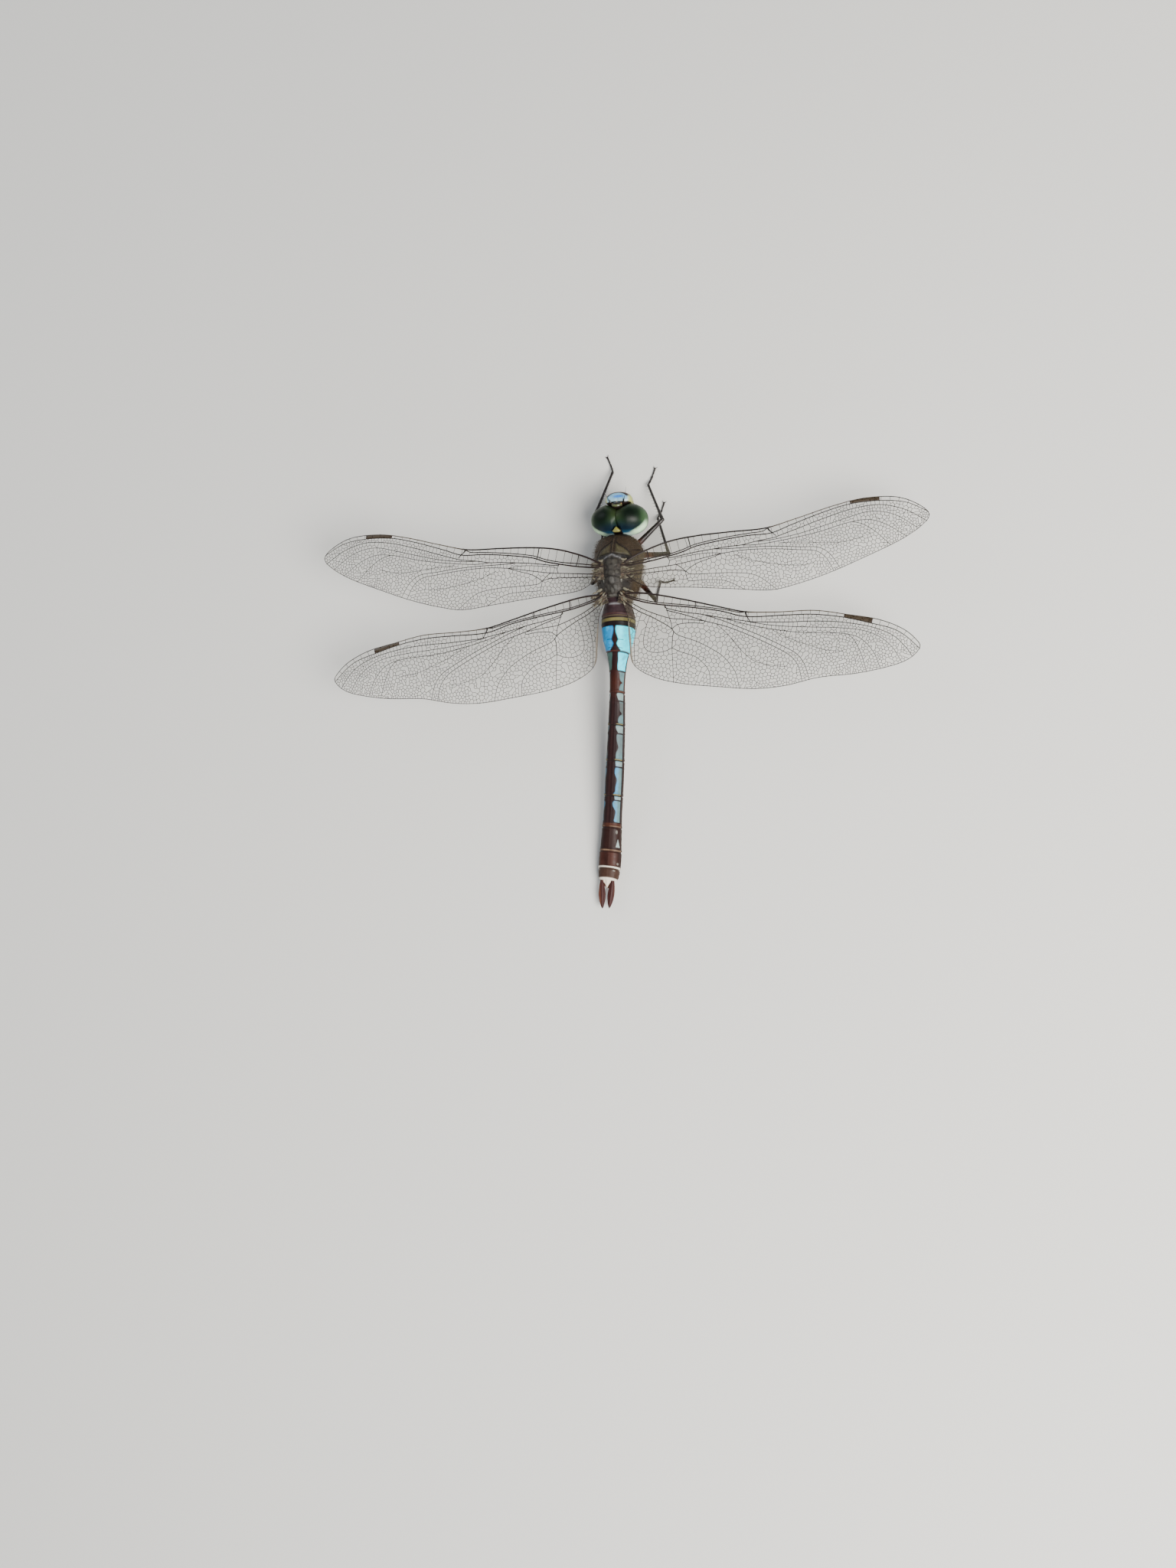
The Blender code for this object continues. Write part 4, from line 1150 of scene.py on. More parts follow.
def plate_masks(points):
    """For each plate of the back, how much it covers the points, and the groove round it."""
    wide, y = abs(points[:, 0]), points[:, 1]
    for x_at, y_at, half_x, half_y, height, colour in BACK_PLATES:
        away = (abs((wide - x_at) / half_x) ** 2.6 + abs((y - y_at) / half_y) ** 2.6) ** (1 / 2.6)
        away = away + 0.12 * wrinkle(points, 0.9, 51)
        yield 1 - rise(0.62, 1.15, away), bump(away, 1.18, 0.2), height, colour


def thorax_relief(points, up):
    """How far the trunk's surface stands out from its plain form: keel, ridges, plates and seams."""
    y, z = points[:, 1], points[:, 2]
    wide = abs(points[:, 0])
    roof = rise(0.25, 0.6, up)
    flank = band(up, -0.75, 0.62, 0.15)
    relief = 0.17 * bump(wide, 0, 0.10) * band(y, -7.5, -4.2, 0.15) * roof
    relief -= 0.10 * bump(wide, 0.34, 0.16) * band(y, -7.3, -4.3, 0.3) * roof
    line = y - np.interp(wide, *zip(*SHOULDER_LINE))
    relief -= 0.08 * bump(line, 0, 0.16) * roof * band(y, -6.0, -3.0, 0.2)
    relief += 0.06 * bump(line, 0.45, 0.30) * roof * (y < -4.1)
    relief -= 0.16 * bump(y, -4.08 + 0.10 * wide, 0.12) * roof * (wide < 2.5)
    for cover, groove, height, _ in plate_masks(points):
        relief += (0.42 * height * cover - 0.012 * groove) * roof * (y > -4.0)
    relief -= 0.16 * bump(y, 0.05 - 0.42 * wide + 0.42 * wide ** 1.5, 0.10) * roof * (wide > 0.5)
    for start, slope in FLANK_SEAMS:
        line = y - start - slope * (z - 7.0)
        relief -= 0.15 * bump(line, 0, 0.12) * flank
        relief += 0.06 * bump(line, -0.32, 0.2) * flank
    return relief + 0.025 * wrinkle(points, 1.3, 3) + 0.012 * wrinkle(points, 0.5, 4)


def lay_trunk_front(paint, y, wide, roof, mottling):
    """The sloping front of the trunk: olive patches by the shoulder lines and a pale keel between."""
    front = 1 - rise(-4.15, -3.95, y - 0.10 * wide)
    line = y - np.interp(wide, *zip(*SHOULDER_LINE))
    patch = roof * front * rise(0.02, 0.22, line) * band(wide, 0.5, 3.0, 0.10)
    lay(paint, 0.9 * patch, (84, 78, 56))
    lay(paint, 0.6 * patch * rise(0.0, 0.9, mottling), (108, 106, 76))
    lay(paint, 0.5 * roof * front * band(wide, 0.12, 0.5, 0.08), (66, 56, 46))
    lay(paint, 0.8 * roof * front * bump(wide, 0, 0.08), (96, 84, 66))
    # dark lines either side of the keel: partly dark seams, partly the keel's painted shadow
    lay(paint, 0.85 * roof * front * bump(wide, 0.2, 0.09) * rise(-7.8, -6.8, y), (28, 22, 18))
    lay(paint, 0.9 * roof * bump(line, -0.08, 0.2) * band(y, -7.2, -3.0, 0.2), (20, 14, 12))
    lay(paint, 0.7 * roof * bump(y, -4.12 + 0.10 * wide, 0.16) * (wide < 2.5), (34, 30, 28))


def lay_back(paint, points, roof, mottling):
    """The back between the wings: its plates, the grooves round them and a grey bloom."""
    y, wide = points[:, 1], abs(points[:, 0])
    back = roof * rise(-4.05, -3.9, y - 0.10 * wide)
    lay(paint, back, (58, 52, 46))
    for cover, groove, _, colour in plate_masks(points):
        lay(paint, 0.55 * back * groove, (32, 28, 26))
        blend(paint, 0.85 * back * cover, 0.8 * screen(*colour))
    lay(paint, 0.3 * back * rise(0.1, 0.9, mottling), (98, 94, 88))
    lay(paint, 0.75 * back * bump(y, -3.75 + 0.42 * wide, 0.16) * (1 - rise(1.3, 1.7, wide)),
        (146, 146, 148))
    lay(paint, 0.8 * back * bump(np.hypot(wide, y + 3.1), 0, 0.22), (20, 16, 14))
    lay(paint, 0.45 * back * rise(0.2, 0.9, wrinkle(points, 0.6, 18)), (34, 30, 28))


def thorax_paint(points, up):
    """Brown above and paler below, with dark seams; the whole is then darkened by half."""
    y, z = points[:, 1], points[:, 2]
    roof = rise(0.3, 0.62, up)
    mottling = wrinkle(points, 1.1, 8)
    paint = plain(points, (84, 68, 46))
    lay(paint, 0.7 * rise(0.0, 0.7, up), (54, 42, 31))
    lay(paint, 0.55 * (1 - rise(-0.9, -0.2, up)), (122, 106, 78))
    lay_trunk_front(paint, y, abs(points[:, 0]), roof, mottling)
    lay_back(paint, points, roof, mottling)
    for start, slope in FLANK_SEAMS:
        lay(paint, 0.8 * band(up, -0.8, 0.6, 0.15) * bump(y, start + slope * (z - 7.0), 0.15), BLACK_BROWN)
    return 0.5 * paint


def trunk_skin():
    """The trunk's plain form with its relief, nowhere higher than the top of the back."""
    rows, sides = 190, 200
    y = np.linspace(THORAX_FRONT, THORAX_END, rows)
    angle = np.arange(sides) / sides * math.tau
    grid_y, grid_angle = (g.ravel() for g in np.meshgrid(y, angle, indexing="ij"))
    points, up = thorax_point(grid_y, grid_angle)
    outward = unit(np.column_stack([points[:, 0], np.zeros(len(points)), points[:, 2] - THORAX_MIDDLE]))
    ends = np.minimum(rise(THORAX_FRONT, THORAX_FRONT + 0.5, grid_y),
                      1 - rise(THORAX_END - 0.4, THORAX_END, grid_y))
    shaped = points + outward * (thorax_relief(points, up) * ends)[:, None]
    shaped[:, 2] = np.minimum(shaped[:, 2], ROOF)
    skin_points, faces = through_rings(shaped.reshape(rows, sides, 3))
    paint = thorax_paint(points, up)
    return skin_points, faces, np.vstack([paint, paint[:1], paint[-1:]])


def prothorax():
    """The small segment that carries the fore legs."""
    points, faces, way = block((0, -6.7, 6.1), (1.95, 1.0, 1.6), 2.3, 2.3)
    points = points + way * (0.05 * wrinkle(points, 1.2, 5))[:, None]
    return coloured((points, faces), (62, 48, 35))


def prothorax_collar():
    """The upright plate behind the head, notched in the middle and paler at its ends."""
    points, faces, way = block((0, -7.55, 7.95), (2.35, 0.66, 1.45), 2.4, 2.6, 36, 60)
    relief = -0.10 * bump(points[:, 0], 0, 0.3) + 0.03 * wrinkle(points, 0.8, 11)
    points = points + way * relief[:, None]
    paint = plain(points, (38, 29, 22))
    lay(paint, 0.5 * rise(1.4, 2.2, abs(points[:, 0])), (70, 58, 38))
    return points, faces, paint


def build_thorax(materials):
    """Trunk, its small front segment and the neck, as one skin."""
    neck = coloured(rod([(0, y, 6.3) for y in np.linspace(-8.8, -7.2, 8)], 0.85, 24), BLACK_BROWN)
    shape = join([trunk_skin(), prothorax(), prothorax_collar(), neck])
    piece("thorax_skin", shape, materials["thorax"], "thorax", ("neck", "prothorax", "thorax"))


def root_plate(number, kind, out, back, length, width, height, turn, look):
    """One small hard plate by the left wing's root, turned by some degrees from the wing's own sweep."""
    x, y, _ = WINGS[kind]["root"]
    sweep = math.radians(WINGS[kind]["sweep"]["left"])
    points, faces, way = block((0, 0, 0), (length, width * 0.85, height * 0.5), 2.6, 2.6, 12, 24)
    points[:, 1] *= 1 - 0.28 * points[:, 0] / length * (-1) ** number
    points = points + way * (0.09 * wrinkle(points + number, 0.55, 6))[:, None]
    lean = sweep + math.radians(turn)
    turned = np.column_stack([points[:, 0] * math.cos(lean) - points[:, 1] * math.sin(lean),
                              points[:, 0] * math.sin(lean) + points[:, 1] * math.cos(lean),
                              points[:, 2]])
    away = x + out * math.cos(sweep) - back * math.sin(sweep)
    centre = np.array((away, y + out * math.sin(sweep) + back * math.cos(sweep),
                       12.03 - 0.22 * max(out, 0)))
    paint = plain(points, ROOT_LOOKS[look])
    lay(paint, 0.8 * rise(-0.1, 0.8, wrinkle(points + number, 0.5, 9)), (84, 72, 54))
    return turned + centre, faces, paint


def build_hinges(materials):
    """The small hard plates between the wing roots and the back, alike on both sides."""
    plates = []
    for side in (1, -1):
        for kind, rows in ROOT_PLATES.items():
            for number, row in enumerate(rows):
                points, faces, paint = root_plate(number, kind, *row)
                plates.append((points * np.array((side, 1, 1)), faces, paint))
    piece("wing_hinges", join(plates), materials["thorax"], "thorax")


# ---------------------------------------------------------------- abdomen

def abdomen_axis(y):
    """Points on the abdomen's axis, which leans to the left and bows a little to the right."""
    beyond = np.maximum(0.0, y - ABDOMEN_LEAN_START)
    share = np.minimum(1.0, beyond / (ABDOMEN_END - ABDOMEN_LEAN_START))
    x = ABDOMEN_LEAN * beyond - ABDOMEN_BOW * np.sin(math.pi * share)
    return np.stack([x, y, smooth_value(ABDOMEN_AXIS, y)], axis=-1)


def abdomen_relief(y, tilt):
    """Joints between the segments, their swollen rims, cross ridges and the keels along the sides."""
    relief = np.zeros_like(y)
    for number, end in enumerate(SEGMENT_ENDS[1:-1], start=1):
        depth = 0.10 if number < 8 else 0.13
        relief -= depth * bump(y, end + 0.06, 0.09)
        relief += 0.055 * bump(y, end - 0.22, 0.2)
        relief += 0.03 * bump(y, end + 0.35, 0.25)
    for ridge in CROSS_RIDGES:
        relief += 0.03 * bump(y, ridge, 0.1) * (1 - rise(100, 120, tilt))
    relief += 0.10 * bump(tilt, 97, 6) * rise(18, 21, y)
    relief -= 0.10 * bump(tilt, 118, 9) * rise(8, 14, y)
    relief += 0.035 * bump(tilt, 0, 5) * rise(13, 20, y)
    return relief


def along_segments(y):
    """Where on the abdomen a place is, counted in segments from 1."""
    return np.interp(y, SEGMENT_ENDS, np.arange(len(SEGMENT_ENDS)) + 1.0)


def beside_stripe(where, tilt):
    """1 beside the middle stripe and 0 on it."""
    stripe = smooth_value(STRIPE, where)
    return rise(stripe - STRIPE_EDGE, stripe + STRIPE_EDGE, tilt)


def lay_ground(paint, y, where, tilt, mottling):
    """Red-black all along with a painted highlight down the middle of the back, paler underneath, and the
    rings of the first two segments.
    """
    lay(paint, 0.8 * band(where, 3.5, 4.1, 0.25), (54, 23, 14))
    # a paler line along the middle of the back: a painted highlight
    lay(paint, 0.3 * bump(tilt, 0, 9) * rise(16, 20, y), (60, 40, 38))
    lay(paint, rise(7.86, 7.9, where), (36, 19, 16))
    lay(paint, 0.7 * rise(8.9, 9.0, where), (38, 20, 17))
    lay(paint, 0.9 * rise(9.97, 10.02, where), (58, 40, 32))
    lay(paint, 0.8 * rise(96, 108, tilt) * rise(12, 14, y), (52, 44, 40))
    first = 1 - rise(6.3, 6.36, y)
    lay(paint, first, (44, 31, 34))
    lay(paint, 0.5 * first * rise(-0.2, 0.8, mottling), (66, 52, 55))
    # a pale grey patch on the first segment: partly its own colour, partly a painted highlight
    lay(paint, 0.7 * bump(y, 4.1, 0.13) * (1 - rise(14, 32, tilt)), (128, 128, 130))
    lay(paint, 0.45 * band(y, 5.55, 5.8, 0.07), (64, 36, 28))
    lay(paint, 0.8 * band(y, 5.95, 6.1, 0.05), (96, 82, 62))
    lay(paint, 0.9 * band(y, 6.18, 6.36, 0.04), BLACK)
    lay(paint, band(y, 6.42, 6.94, 0.06), (98, 92, 56))
    lay(paint, band(y, 6.99, 7.80, 0.05), (18, 10, 12))


def lay_patches(paint, where, tilt, left, mottling):
    """The pale blue to grey patches along each side of the third to seventh segment, darker on the left side
    with painted shade.
    """
    patch = beside_stripe(where, tilt) * (1 - rise(80, 84, tilt)) * band(where, 3.02, 7.83, 0.012)
    for mark in CROSS_MARKS:
        patch *= 1 - band(where, mark - 0.022, mark + 0.022, 0.012)
    for joint in (4, 5, 6, 7):
        patch *= 1 - band(where, joint - 0.045, joint + 0.02, 0.01)
    front = 1 - rise(3.46, 3.5, where)
    shade = plain(paint, (84, 112, 116))
    lay(shade, rise(5.9, 6.2, where) * (1 - rise(48, 66, tilt)), (66, 128, 162))
    lay(shade, front, (20, 226, 255))
    # painted shade: the front patch of the third segment is darker and greyer on the left side
    lay(shade, left * front, (56, 82, 78))
    lay(shade, 0.4 * rise(0.1, 0.8, mottling), (96, 124, 122))
    for first, last in ((4.03, 4.25), (5.03, 5.23), (6.03, 6.17), (7.03, 7.13)):
        lay(shade, 0.55 * band(where, first, last, 0.02), (134, 150, 146))
    # painted shade: the later patches are darker and greyer on the left side
    lay(shade, 0.6 * left * rise(3.5, 3.6, where), (62, 74, 80))
    lay(shade, 0.7 * band(where, 4.3, 4.7, 0.05), (72, 66, 62))
    lay(shade, 0.45 * band(where, 5.28, 5.8, 0.1), (86, 84, 82))
    blend(paint, patch, shade)


def lay_saddle(paint, y, where, tilt, left, mottling):
    """The sky-blue saddle of the second segment, with its dark cross lines; its left side is a darker blue
    as painted shade.
    """
    saddle = band(y, *SADDLE, 0.04) * beside_stripe(where, tilt) * (1 - rise(118, 128, tilt))
    blue = plain(paint, (0, 232, 255))
    # painted shade: a darker blue on the left side
    lay(blue, 0.9 * left, (8, 104, 170))
    lay(blue, 0.4 * rise(75, 110, tilt), (10, 118, 184))
    lay(blue, 0.3 * rise(0.2, 0.9, mottling), (70, 200, 240))
    blend(paint, saddle, blue)
    lay(paint, 0.95 * bump(y, 10.05, 0.055) * (1 - rise(30, 36, tilt)), (20, 14, 18))
    lay(paint, 0.85 * bump(y, 11.28 + 0.004 * tilt, 0.06) * (1 - rise(28, 36, tilt)), (36, 24, 26))
    lay(paint, 0.95 * bump(y, 11.93, 0.10) * (1 - rise(100, 110, tilt)), (62, 34, 28))
    lay(paint, 0.4 * bump(y, 11.80, 0.04) * band(tilt, 30, 90, 8), (150, 132, 122))


def lay_rings(paint, y, where, tilt, mottling):
    """Dark joints with pale or brown rims, and the white rings at the end."""
    shown = 1 - rise(96, 106, tilt)
    for joint, strength in ((24.6, 0.6), (30.5, 0.75), (36.5, 0.9)):
        lay(paint, strength * bump(y, joint - 0.14, 0.06) * band(tilt, 28, 78, 4), (150, 142, 92))
        lay(paint, 0.85 * bump(y, joint + 0.06, 0.09) * shown, BLACK)
    lay(paint, 0.5 * bump(y, 18.76, 0.06) * band(tilt, 30, 84, 5), (110, 70, 52))
    lay(paint, 0.8 * band(where, 7.87, 7.985, 0.02) * shown, (66, 37, 27))
    lay(paint, 0.5 * bump(y, 41.72, 0.07) * band(tilt, 18, 95, 12), (130, 112, 90))
    lay(paint, 0.8 * band(where, 8.93, 8.99, 0.02) * shown * (0.55 + 0.45 * rise(-0.5, 0.6, mottling)),
        (122, 98, 78))
    lay(paint, 0.95 * band(y, 48.42, 48.68, 0.05) * shown, (216, 208, 192))
    lay(paint, 0.95 * band(y, 49.95, 50.4, 0.06), (214, 204, 188))


def lay_rear_spots(paint, where, tilt):
    """The spots on the last three segments and the pale triangle on each side of the eighth."""
    lay(paint, 0.4 * bump(tilt, 35, 25) * band(where, 9.05, 9.9, 0.1), (84, 44, 33))
    for middle, height, at, reach in ((8.19, 0.28, 60, 8), (9.72, 0.25, 68, 9), (10.2, 0.2, 46, 9)):
        spot = np.hypot((where - middle) * 3.4 / height, (tilt - at) / reach)
        lay(paint, 0.4 * (1 - rise(0.7, 1.15, spot)), (150, 148, 138))
    half = 16 * np.clip((where - 8.46) / 0.34, 0, 1)
    triangle = (1 - rise(half - 2, half + 1, abs(tilt - 70))) * band(where, 8.48, 8.82, 0.02)
    lay(paint, 0.85 * triangle, (150, 168, 166))


def abdomen_paint(points, y, tilt, left):
    """Colours of the abdomen; tilt is the angle from the line of the back, left is 1 on the left side, which
    gets painted shade.
    """
    where = along_segments(y)
    mottling = wrinkle(points, 1.6, 14)
    paint = plain(points, (30, 14, 15))
    lay_ground(paint, y, where, tilt, mottling)
    lay_patches(paint, where, tilt, left, mottling)
    lay_saddle(paint, y, where, tilt, left, mottling)
    lay_rings(paint, y, where, tilt, mottling)
    lay_rear_spots(paint, where, tilt)
    return paint


def build_abdomen(materials):
    """All ten segments as one skin: rings across the axis, with the relief of the joints."""
    y = np.arange(ABDOMEN_FRONT - 0.5, ABDOMEN_END + 1e-6, ABDOMEN_STEP)
    angle = np.arange(ABDOMEN_SIDES) / ABDOMEN_SIDES * math.tau
    centre = abdomen_axis(y)
    along = unit(abdomen_axis(y + 0.5) - abdomen_axis(y - 0.5))
    across = unit(np.cross(along, np.array((0, 0, 1.0))))
    upward = unit(np.cross(across, along))
    grid_y, grid_angle = np.meshgrid(y, angle, indexing="ij")
    to_left = (np.degrees(grid_angle) - 90 + 180) % 360 - 180  # degrees from the top
    to_left = to_left * -np.sign(across[0, 0])
    tilt = abs(to_left)
    out_x, out_z = superellipse(grid_angle, 2.1)
    half_width = smooth_value(ABDOMEN_WIDTHS, y)[:, None] / 2
    half_height = smooth_value(ABDOMEN_HEIGHTS, y)[:, None] / 2
    bend = RING_BEND * (np.maximum(out_z, -0.2) - 0.9) * half_height
    marked = np.interp(grid_y, *zip(*RING_PLACES)) + bend
    relief = abdomen_relief(marked.ravel(), tilt.ravel()).reshape(grid_y.shape)
    half_width, half_height = half_width + relief, half_height + relief
    end = np.sqrt(1 - rise(ABDOMEN_END - 0.5, ABDOMEN_END + 0.25, y)[:, None] * 0.35)
    rings = (centre[:, None] + across[:, None] * (out_x * half_width * end)[..., None]
             + upward[:, None] * (out_z * half_height * end)[..., None])
    rings[..., 2] = np.maximum(rings[..., 2], 0.0)
    points, faces = through_rings(rings)
    rolled = (to_left - smooth_value(ABDOMEN_ROLL, grid_y)).ravel()
    # the last argument marks the left side, where the paint is darkened as painted shade
    paint = abdomen_paint(rings.reshape(-1, 3), marked.ravel(), abs(rolled), rise(-4, 4, rolled))
    paint = np.vstack([paint, paint[:1], paint[-1:]])
    piece("abdomen_skin", (points, faces, paint), materials["abdomen"], "abdomen",
          [f"abdomen_{n:02d}" for n in range(1, 11)])


def leaf(foot, along, outward, closing, profile, thickness):
    """A leaf-shaped plate with a raised middle rib."""
    distance = np.linspace(0, profile[-1][0], 44)
    half_width = np.maximum(smooth_value(profile, distance), 0.05)
    half_width *= np.sqrt(np.clip((profile[-1][0] - distance) / 0.35, 0.12, 1))
    centre = foot + along * distance[:, None] - outward * (closing * distance)[:, None]
    angles = np.arange(28) / 28 * math.tau
    across = unit(np.cross(along, np.array((0, 0, 1.0))))
    upward = np.cross(across, along)
    c, s = superellipse(angles, 2.0)
    thin = np.minimum(thickness / 2, half_width)
    rib = 1 + 0.35 * bump(c, 0, 0.2) * (s > 0) - 0.3 * bump(abs(c), 0.45, 0.2) * (s > 0)
    rings = (centre[:, None] + across * (half_width[:, None] * c)[..., None]
             + upward * (thin[:, None] * s * rib * 0.9)[..., None])
    return through_rings(rings)


def cercus(start, along, side):
    """One of the two long claspers, reddish on its inner half and black at the tip."""
    outward = np.array((side, 0.0, 0.0))
    foot = start + outward * CERCUS_SPREAD + np.array((0, 0, 0.45)) - along * CERCUS_SUNK
    profile = [(0, 0.3), *((distance + CERCUS_SUNK, half) for distance, half in CERCUS_PROFILE)]
    points, faces = leaf(foot, along, outward, CERCUS_CLOSING, profile, 0.54)
    paint = plain(points, (56, 28, 26))
    inner = (points[:, 0] - foot[0]) * side
    lay(paint, 0.6 * rise(0.1, 0.5, inner + 0.05 * (points[:, 1] - foot[1])), (98, 58, 44))
    lay(paint, 0.5 * rise(4.2, 4.9, points[:, 1] - foot[1]), BLACK)
    return points, faces, paint


def build_tail(materials):
    """The two claspers, and between them the lower one with a pale shield above it."""
    start = abdomen_axis(np.array([ABDOMEN_END + GAP / 2]))[0]
    along = unit(np.array(TAIL_WAY))
    for label, side in (("left", 1), ("right", -1)):
        name = "cercus_" + label
        piece(name + "_skin", cercus(start, along, side), materials["abdomen"], "claspers", (name,))
    parts = []
    for offset, profile, thickness, colour in (
            ((0, -0.1, -0.55), EPIPROCT_PROFILE, 0.5, (120, 78, 58)),
            ((0, -0.25, 0.42), TAIL_SHIELD_PROFILE, 0.4, (214, 200, 184))):
        foot = start + np.array(offset)
        parts.append(coloured(leaf(foot, along, np.array((1.0, 0, 0)), 0.0, profile, thickness), colour))
    piece("epiproct_skin", join(parts), materials["abdomen"], "claspers", ("epiproct",))


# ---------------------------------------------------------------- head

def eye_colours(points):
    """Green eyes, almost black where one looks straight in, bluish behind, with a narrow pale rear rim that
    is a painted reflection of the sky.
    """
    away = (points - np.array(EYE_CENTRE)) / np.array((HEAD_HALF_WIDTH, EYE_HALF_LENGTH, EYE_HALF_HEIGHT))
    x, y, z = abs(away[:, 0]), away[:, 1], away[:, 2]
    paint = plain(points, (30, 52, 32))
    lay(paint, 0.85 * (1 - rise(0.05, 0.55, x)) * (1 - rise(-0.2, 0.6, y)), (40, 50, 24))
    lay(paint, 0.85 * rise(0.15, 0.7, y), (12, 24, 42))
    lay(paint, 0.6 * rise(0.66, 0.95, x) * (1 - rise(0.2, 0.6, y)), (62, 88, 56))
    crown = rise(0.0, 0.7, z)
    pool = 1 - rise(0.2, 1.05, np.hypot((x - 0.50) / 0.50, (y + 0.02) / 0.90))
    lay(paint, 0.95 * pool * crown, (4, 12, 6))
    shaft = bump(np.hypot(x, 0.55 * (y - 0.1)), 0.76, 0.09) * rise(-0.1, 0.5, z)
    lay(paint, 0.55 * shaft, (6, 20, 10))
    edge = y + 0.10 * x ** 2
    lay(paint, 0.6 * rise(0.74, 0.92, edge) * (1 - rise(0.35, 0.7, z)), (40, 84, 112))
    # painted reflection of the sky: a pale band along the rear edge of each eye
    lay(paint, 0.9 * rise(0.91, 0.98, edge) * band(z, -0.5, 0.45, 0.15), (196, 224, 216))
    # painted reflection of the sky along the outer rear rim
    rim = rise(0.945, 0.995, np.hypot(x, y)) * rise(0.0, 0.6, y) * band(z, -0.12, 0.4, 0.2)
    lay(paint, 0.95 * rim * rise(0.3, 0.6, x), (196, 230, 190))
    lay(paint, 0.75 * (1 - rise(-0.75, -0.1, z)), (92, 108, 48))
    lay(paint, 0.9 * rise(0.975, 0.995, y) * (1 - rise(0.15, 0.25, x)), BLACK)
    round_triangle = np.hypot(points[:, 0] / 1.15, (points[:, 1] + 13.15) / 0.62)
    lay(paint, (1 - rise(0.85, 1.05, round_triangle)) * (points[:, 2] > 8.6), BLACK)
    lay(paint, 0.8 * (1 - rise(0.006, 0.014, x)), (22, 30, 12))
    return paint


def drawn_in(end, lateral):
    """How much an eye's outline draws in at one end, by distance from the middle of the head."""
    reach, depth, sharpness = EYE_NOTCHES[end]
    return depth * np.maximum(0.0, 1 - lateral / reach) ** sharpness


def eye_rings(side, rows=84, sides=120):
    """Upright rings from the inner face of an eye to its outer pole."""
    cx, cy, cz = EYE_CENTRE
    lateral = 0.999 * np.sin(np.linspace(0, 1, rows) * math.pi / 2)
    swell = (1 - lateral ** EYE_FULLNESS) ** (1 / EYE_FULLNESS)
    behind = (1 - lateral ** EYE_REAR_FULLNESS) ** (1 / EYE_REAR_FULLNESS)
    x = cx + side * (EYE_SEAM + lateral * (HEAD_HALF_WIDTH - EYE_SEAM))
    angles = np.arange(sides) / sides * math.tau
    ahead = np.cos(angles) < 0
    shorter = np.where(ahead, drawn_in("front", lateral)[:, None], drawn_in("rear", lateral)[:, None])
    length = EYE_HALF_LENGTH * np.where(ahead, swell[:, None], behind[:, None]) * (1 - shorter)
    height = EYE_HALF_HEIGHT * swell * (1 - drawn_in("top", lateral))
    return np.stack([np.repeat(x[:, None], sides, axis=1), cy + length * np.cos(angles),
                     cz + height[:, None] * np.sin(angles)], axis=-1)


def frons_paint(points):
    """A pale blue shelf with a deeper blue middle, a black-brown front line and cream sides."""
    x, y, z = points[:, 0], points[:, 1], points[:, 2]
    wide = abs(x)
    paint = plain(points, (160, 166, 96))
    edge = (abs(x / 2.35) ** 2.1 + abs((y + 14.45) / 1.35) ** 2.1) ** (1 / 2.1)
    top = rise(8.48, 8.6, z)
    lay(paint, top, (116, 166, 192))
    lay(paint, 0.9 * top * (1 - rise(0.4, 1.1, np.hypot((x + 0.25) / 1.25, (y + 14.72) / 0.34))),
        (40, 106, 188))
    lay(paint, 0.5 * top * rise(-14.5, -14.0, y), (158, 178, 178))
    lay(paint, 0.9 * top * rise(1.74, 1.84, wide), (176, 182, 142))
    front = (1 - rise(-15.0, -14.55, y)) * rise(8.15, 8.3, z)
    lay(paint, front * rise(0.66, 0.72, edge) * (1 - rise(1.7, 2.25, wide)), (44, 22, 16))
    lay(paint, 0.6 * front * rise(0.76, 0.82, edge) * (1 - rise(0.3, 0.8, wide)), (110, 44, 26))
    lay(paint, rise(-13.94, -13.84, y), BLACK)
    lay(paint, 0.5 * bump(z, 7.3, 0.12), (84, 70, 40))
    return paint


def frons():
    """The swollen forehead, with a shallow groove down its middle."""
    points, faces, way = block(*FRONS, 80, 140)
    x, y, z = points.T
    relief = -0.07 * bump(x, 0, 0.2) * rise(8.2, 8.8, z) * rise(-15.3, -14.2, y)
    points = points + way * relief[:, None]
    return points, faces, frons_paint(points)


def clypeus():
    """The plate below the forehead, crossed by a groove with two short ones rising from it."""
    points, faces, way = block(*CLYPEUS, 56, 80)
    points[:, 0] *= 1 - 0.07 * (6.5 - points[:, 2])
    wide, z = abs(points[:, 0]), points[:, 2]
    groove = bump(z, 5.75, 0.09) + 0.7 * bump(wide, 1.35, 0.10) * (z > 5.75)
    points = points - way * (0.035 * groove)[:, None]
    paint = plain(points, (158, 160, 88))
    lay(paint, 0.7 * np.minimum(groove, 1), (72, 58, 32))
    lay(paint, 0.5 * rise(6.5, 6.8, points[:, 2]), (84, 66, 40))
    return points, faces, paint


def labrum():
    """The upper lip, notched below and dark along its lower edge."""
    points, faces, way = block(*LABRUM, 48, 72)
    points[:, 0] *= 1 - 0.16 * (4.9 - points[:, 2])
    points = points + way * (-0.08 * bump(points[:, 0], 0, 0.2) * (points[:, 2] < 4.0))[:, None]
    paint = plain(points, (176, 158, 76))
    lay(paint, 1 - rise(3.6, 3.8, points[:, 2]), (46, 28, 20))
    lay(paint, 0.5 * rise(4.7, 5.0, points[:, 2]), (118, 92, 52))
    return points, faces, paint


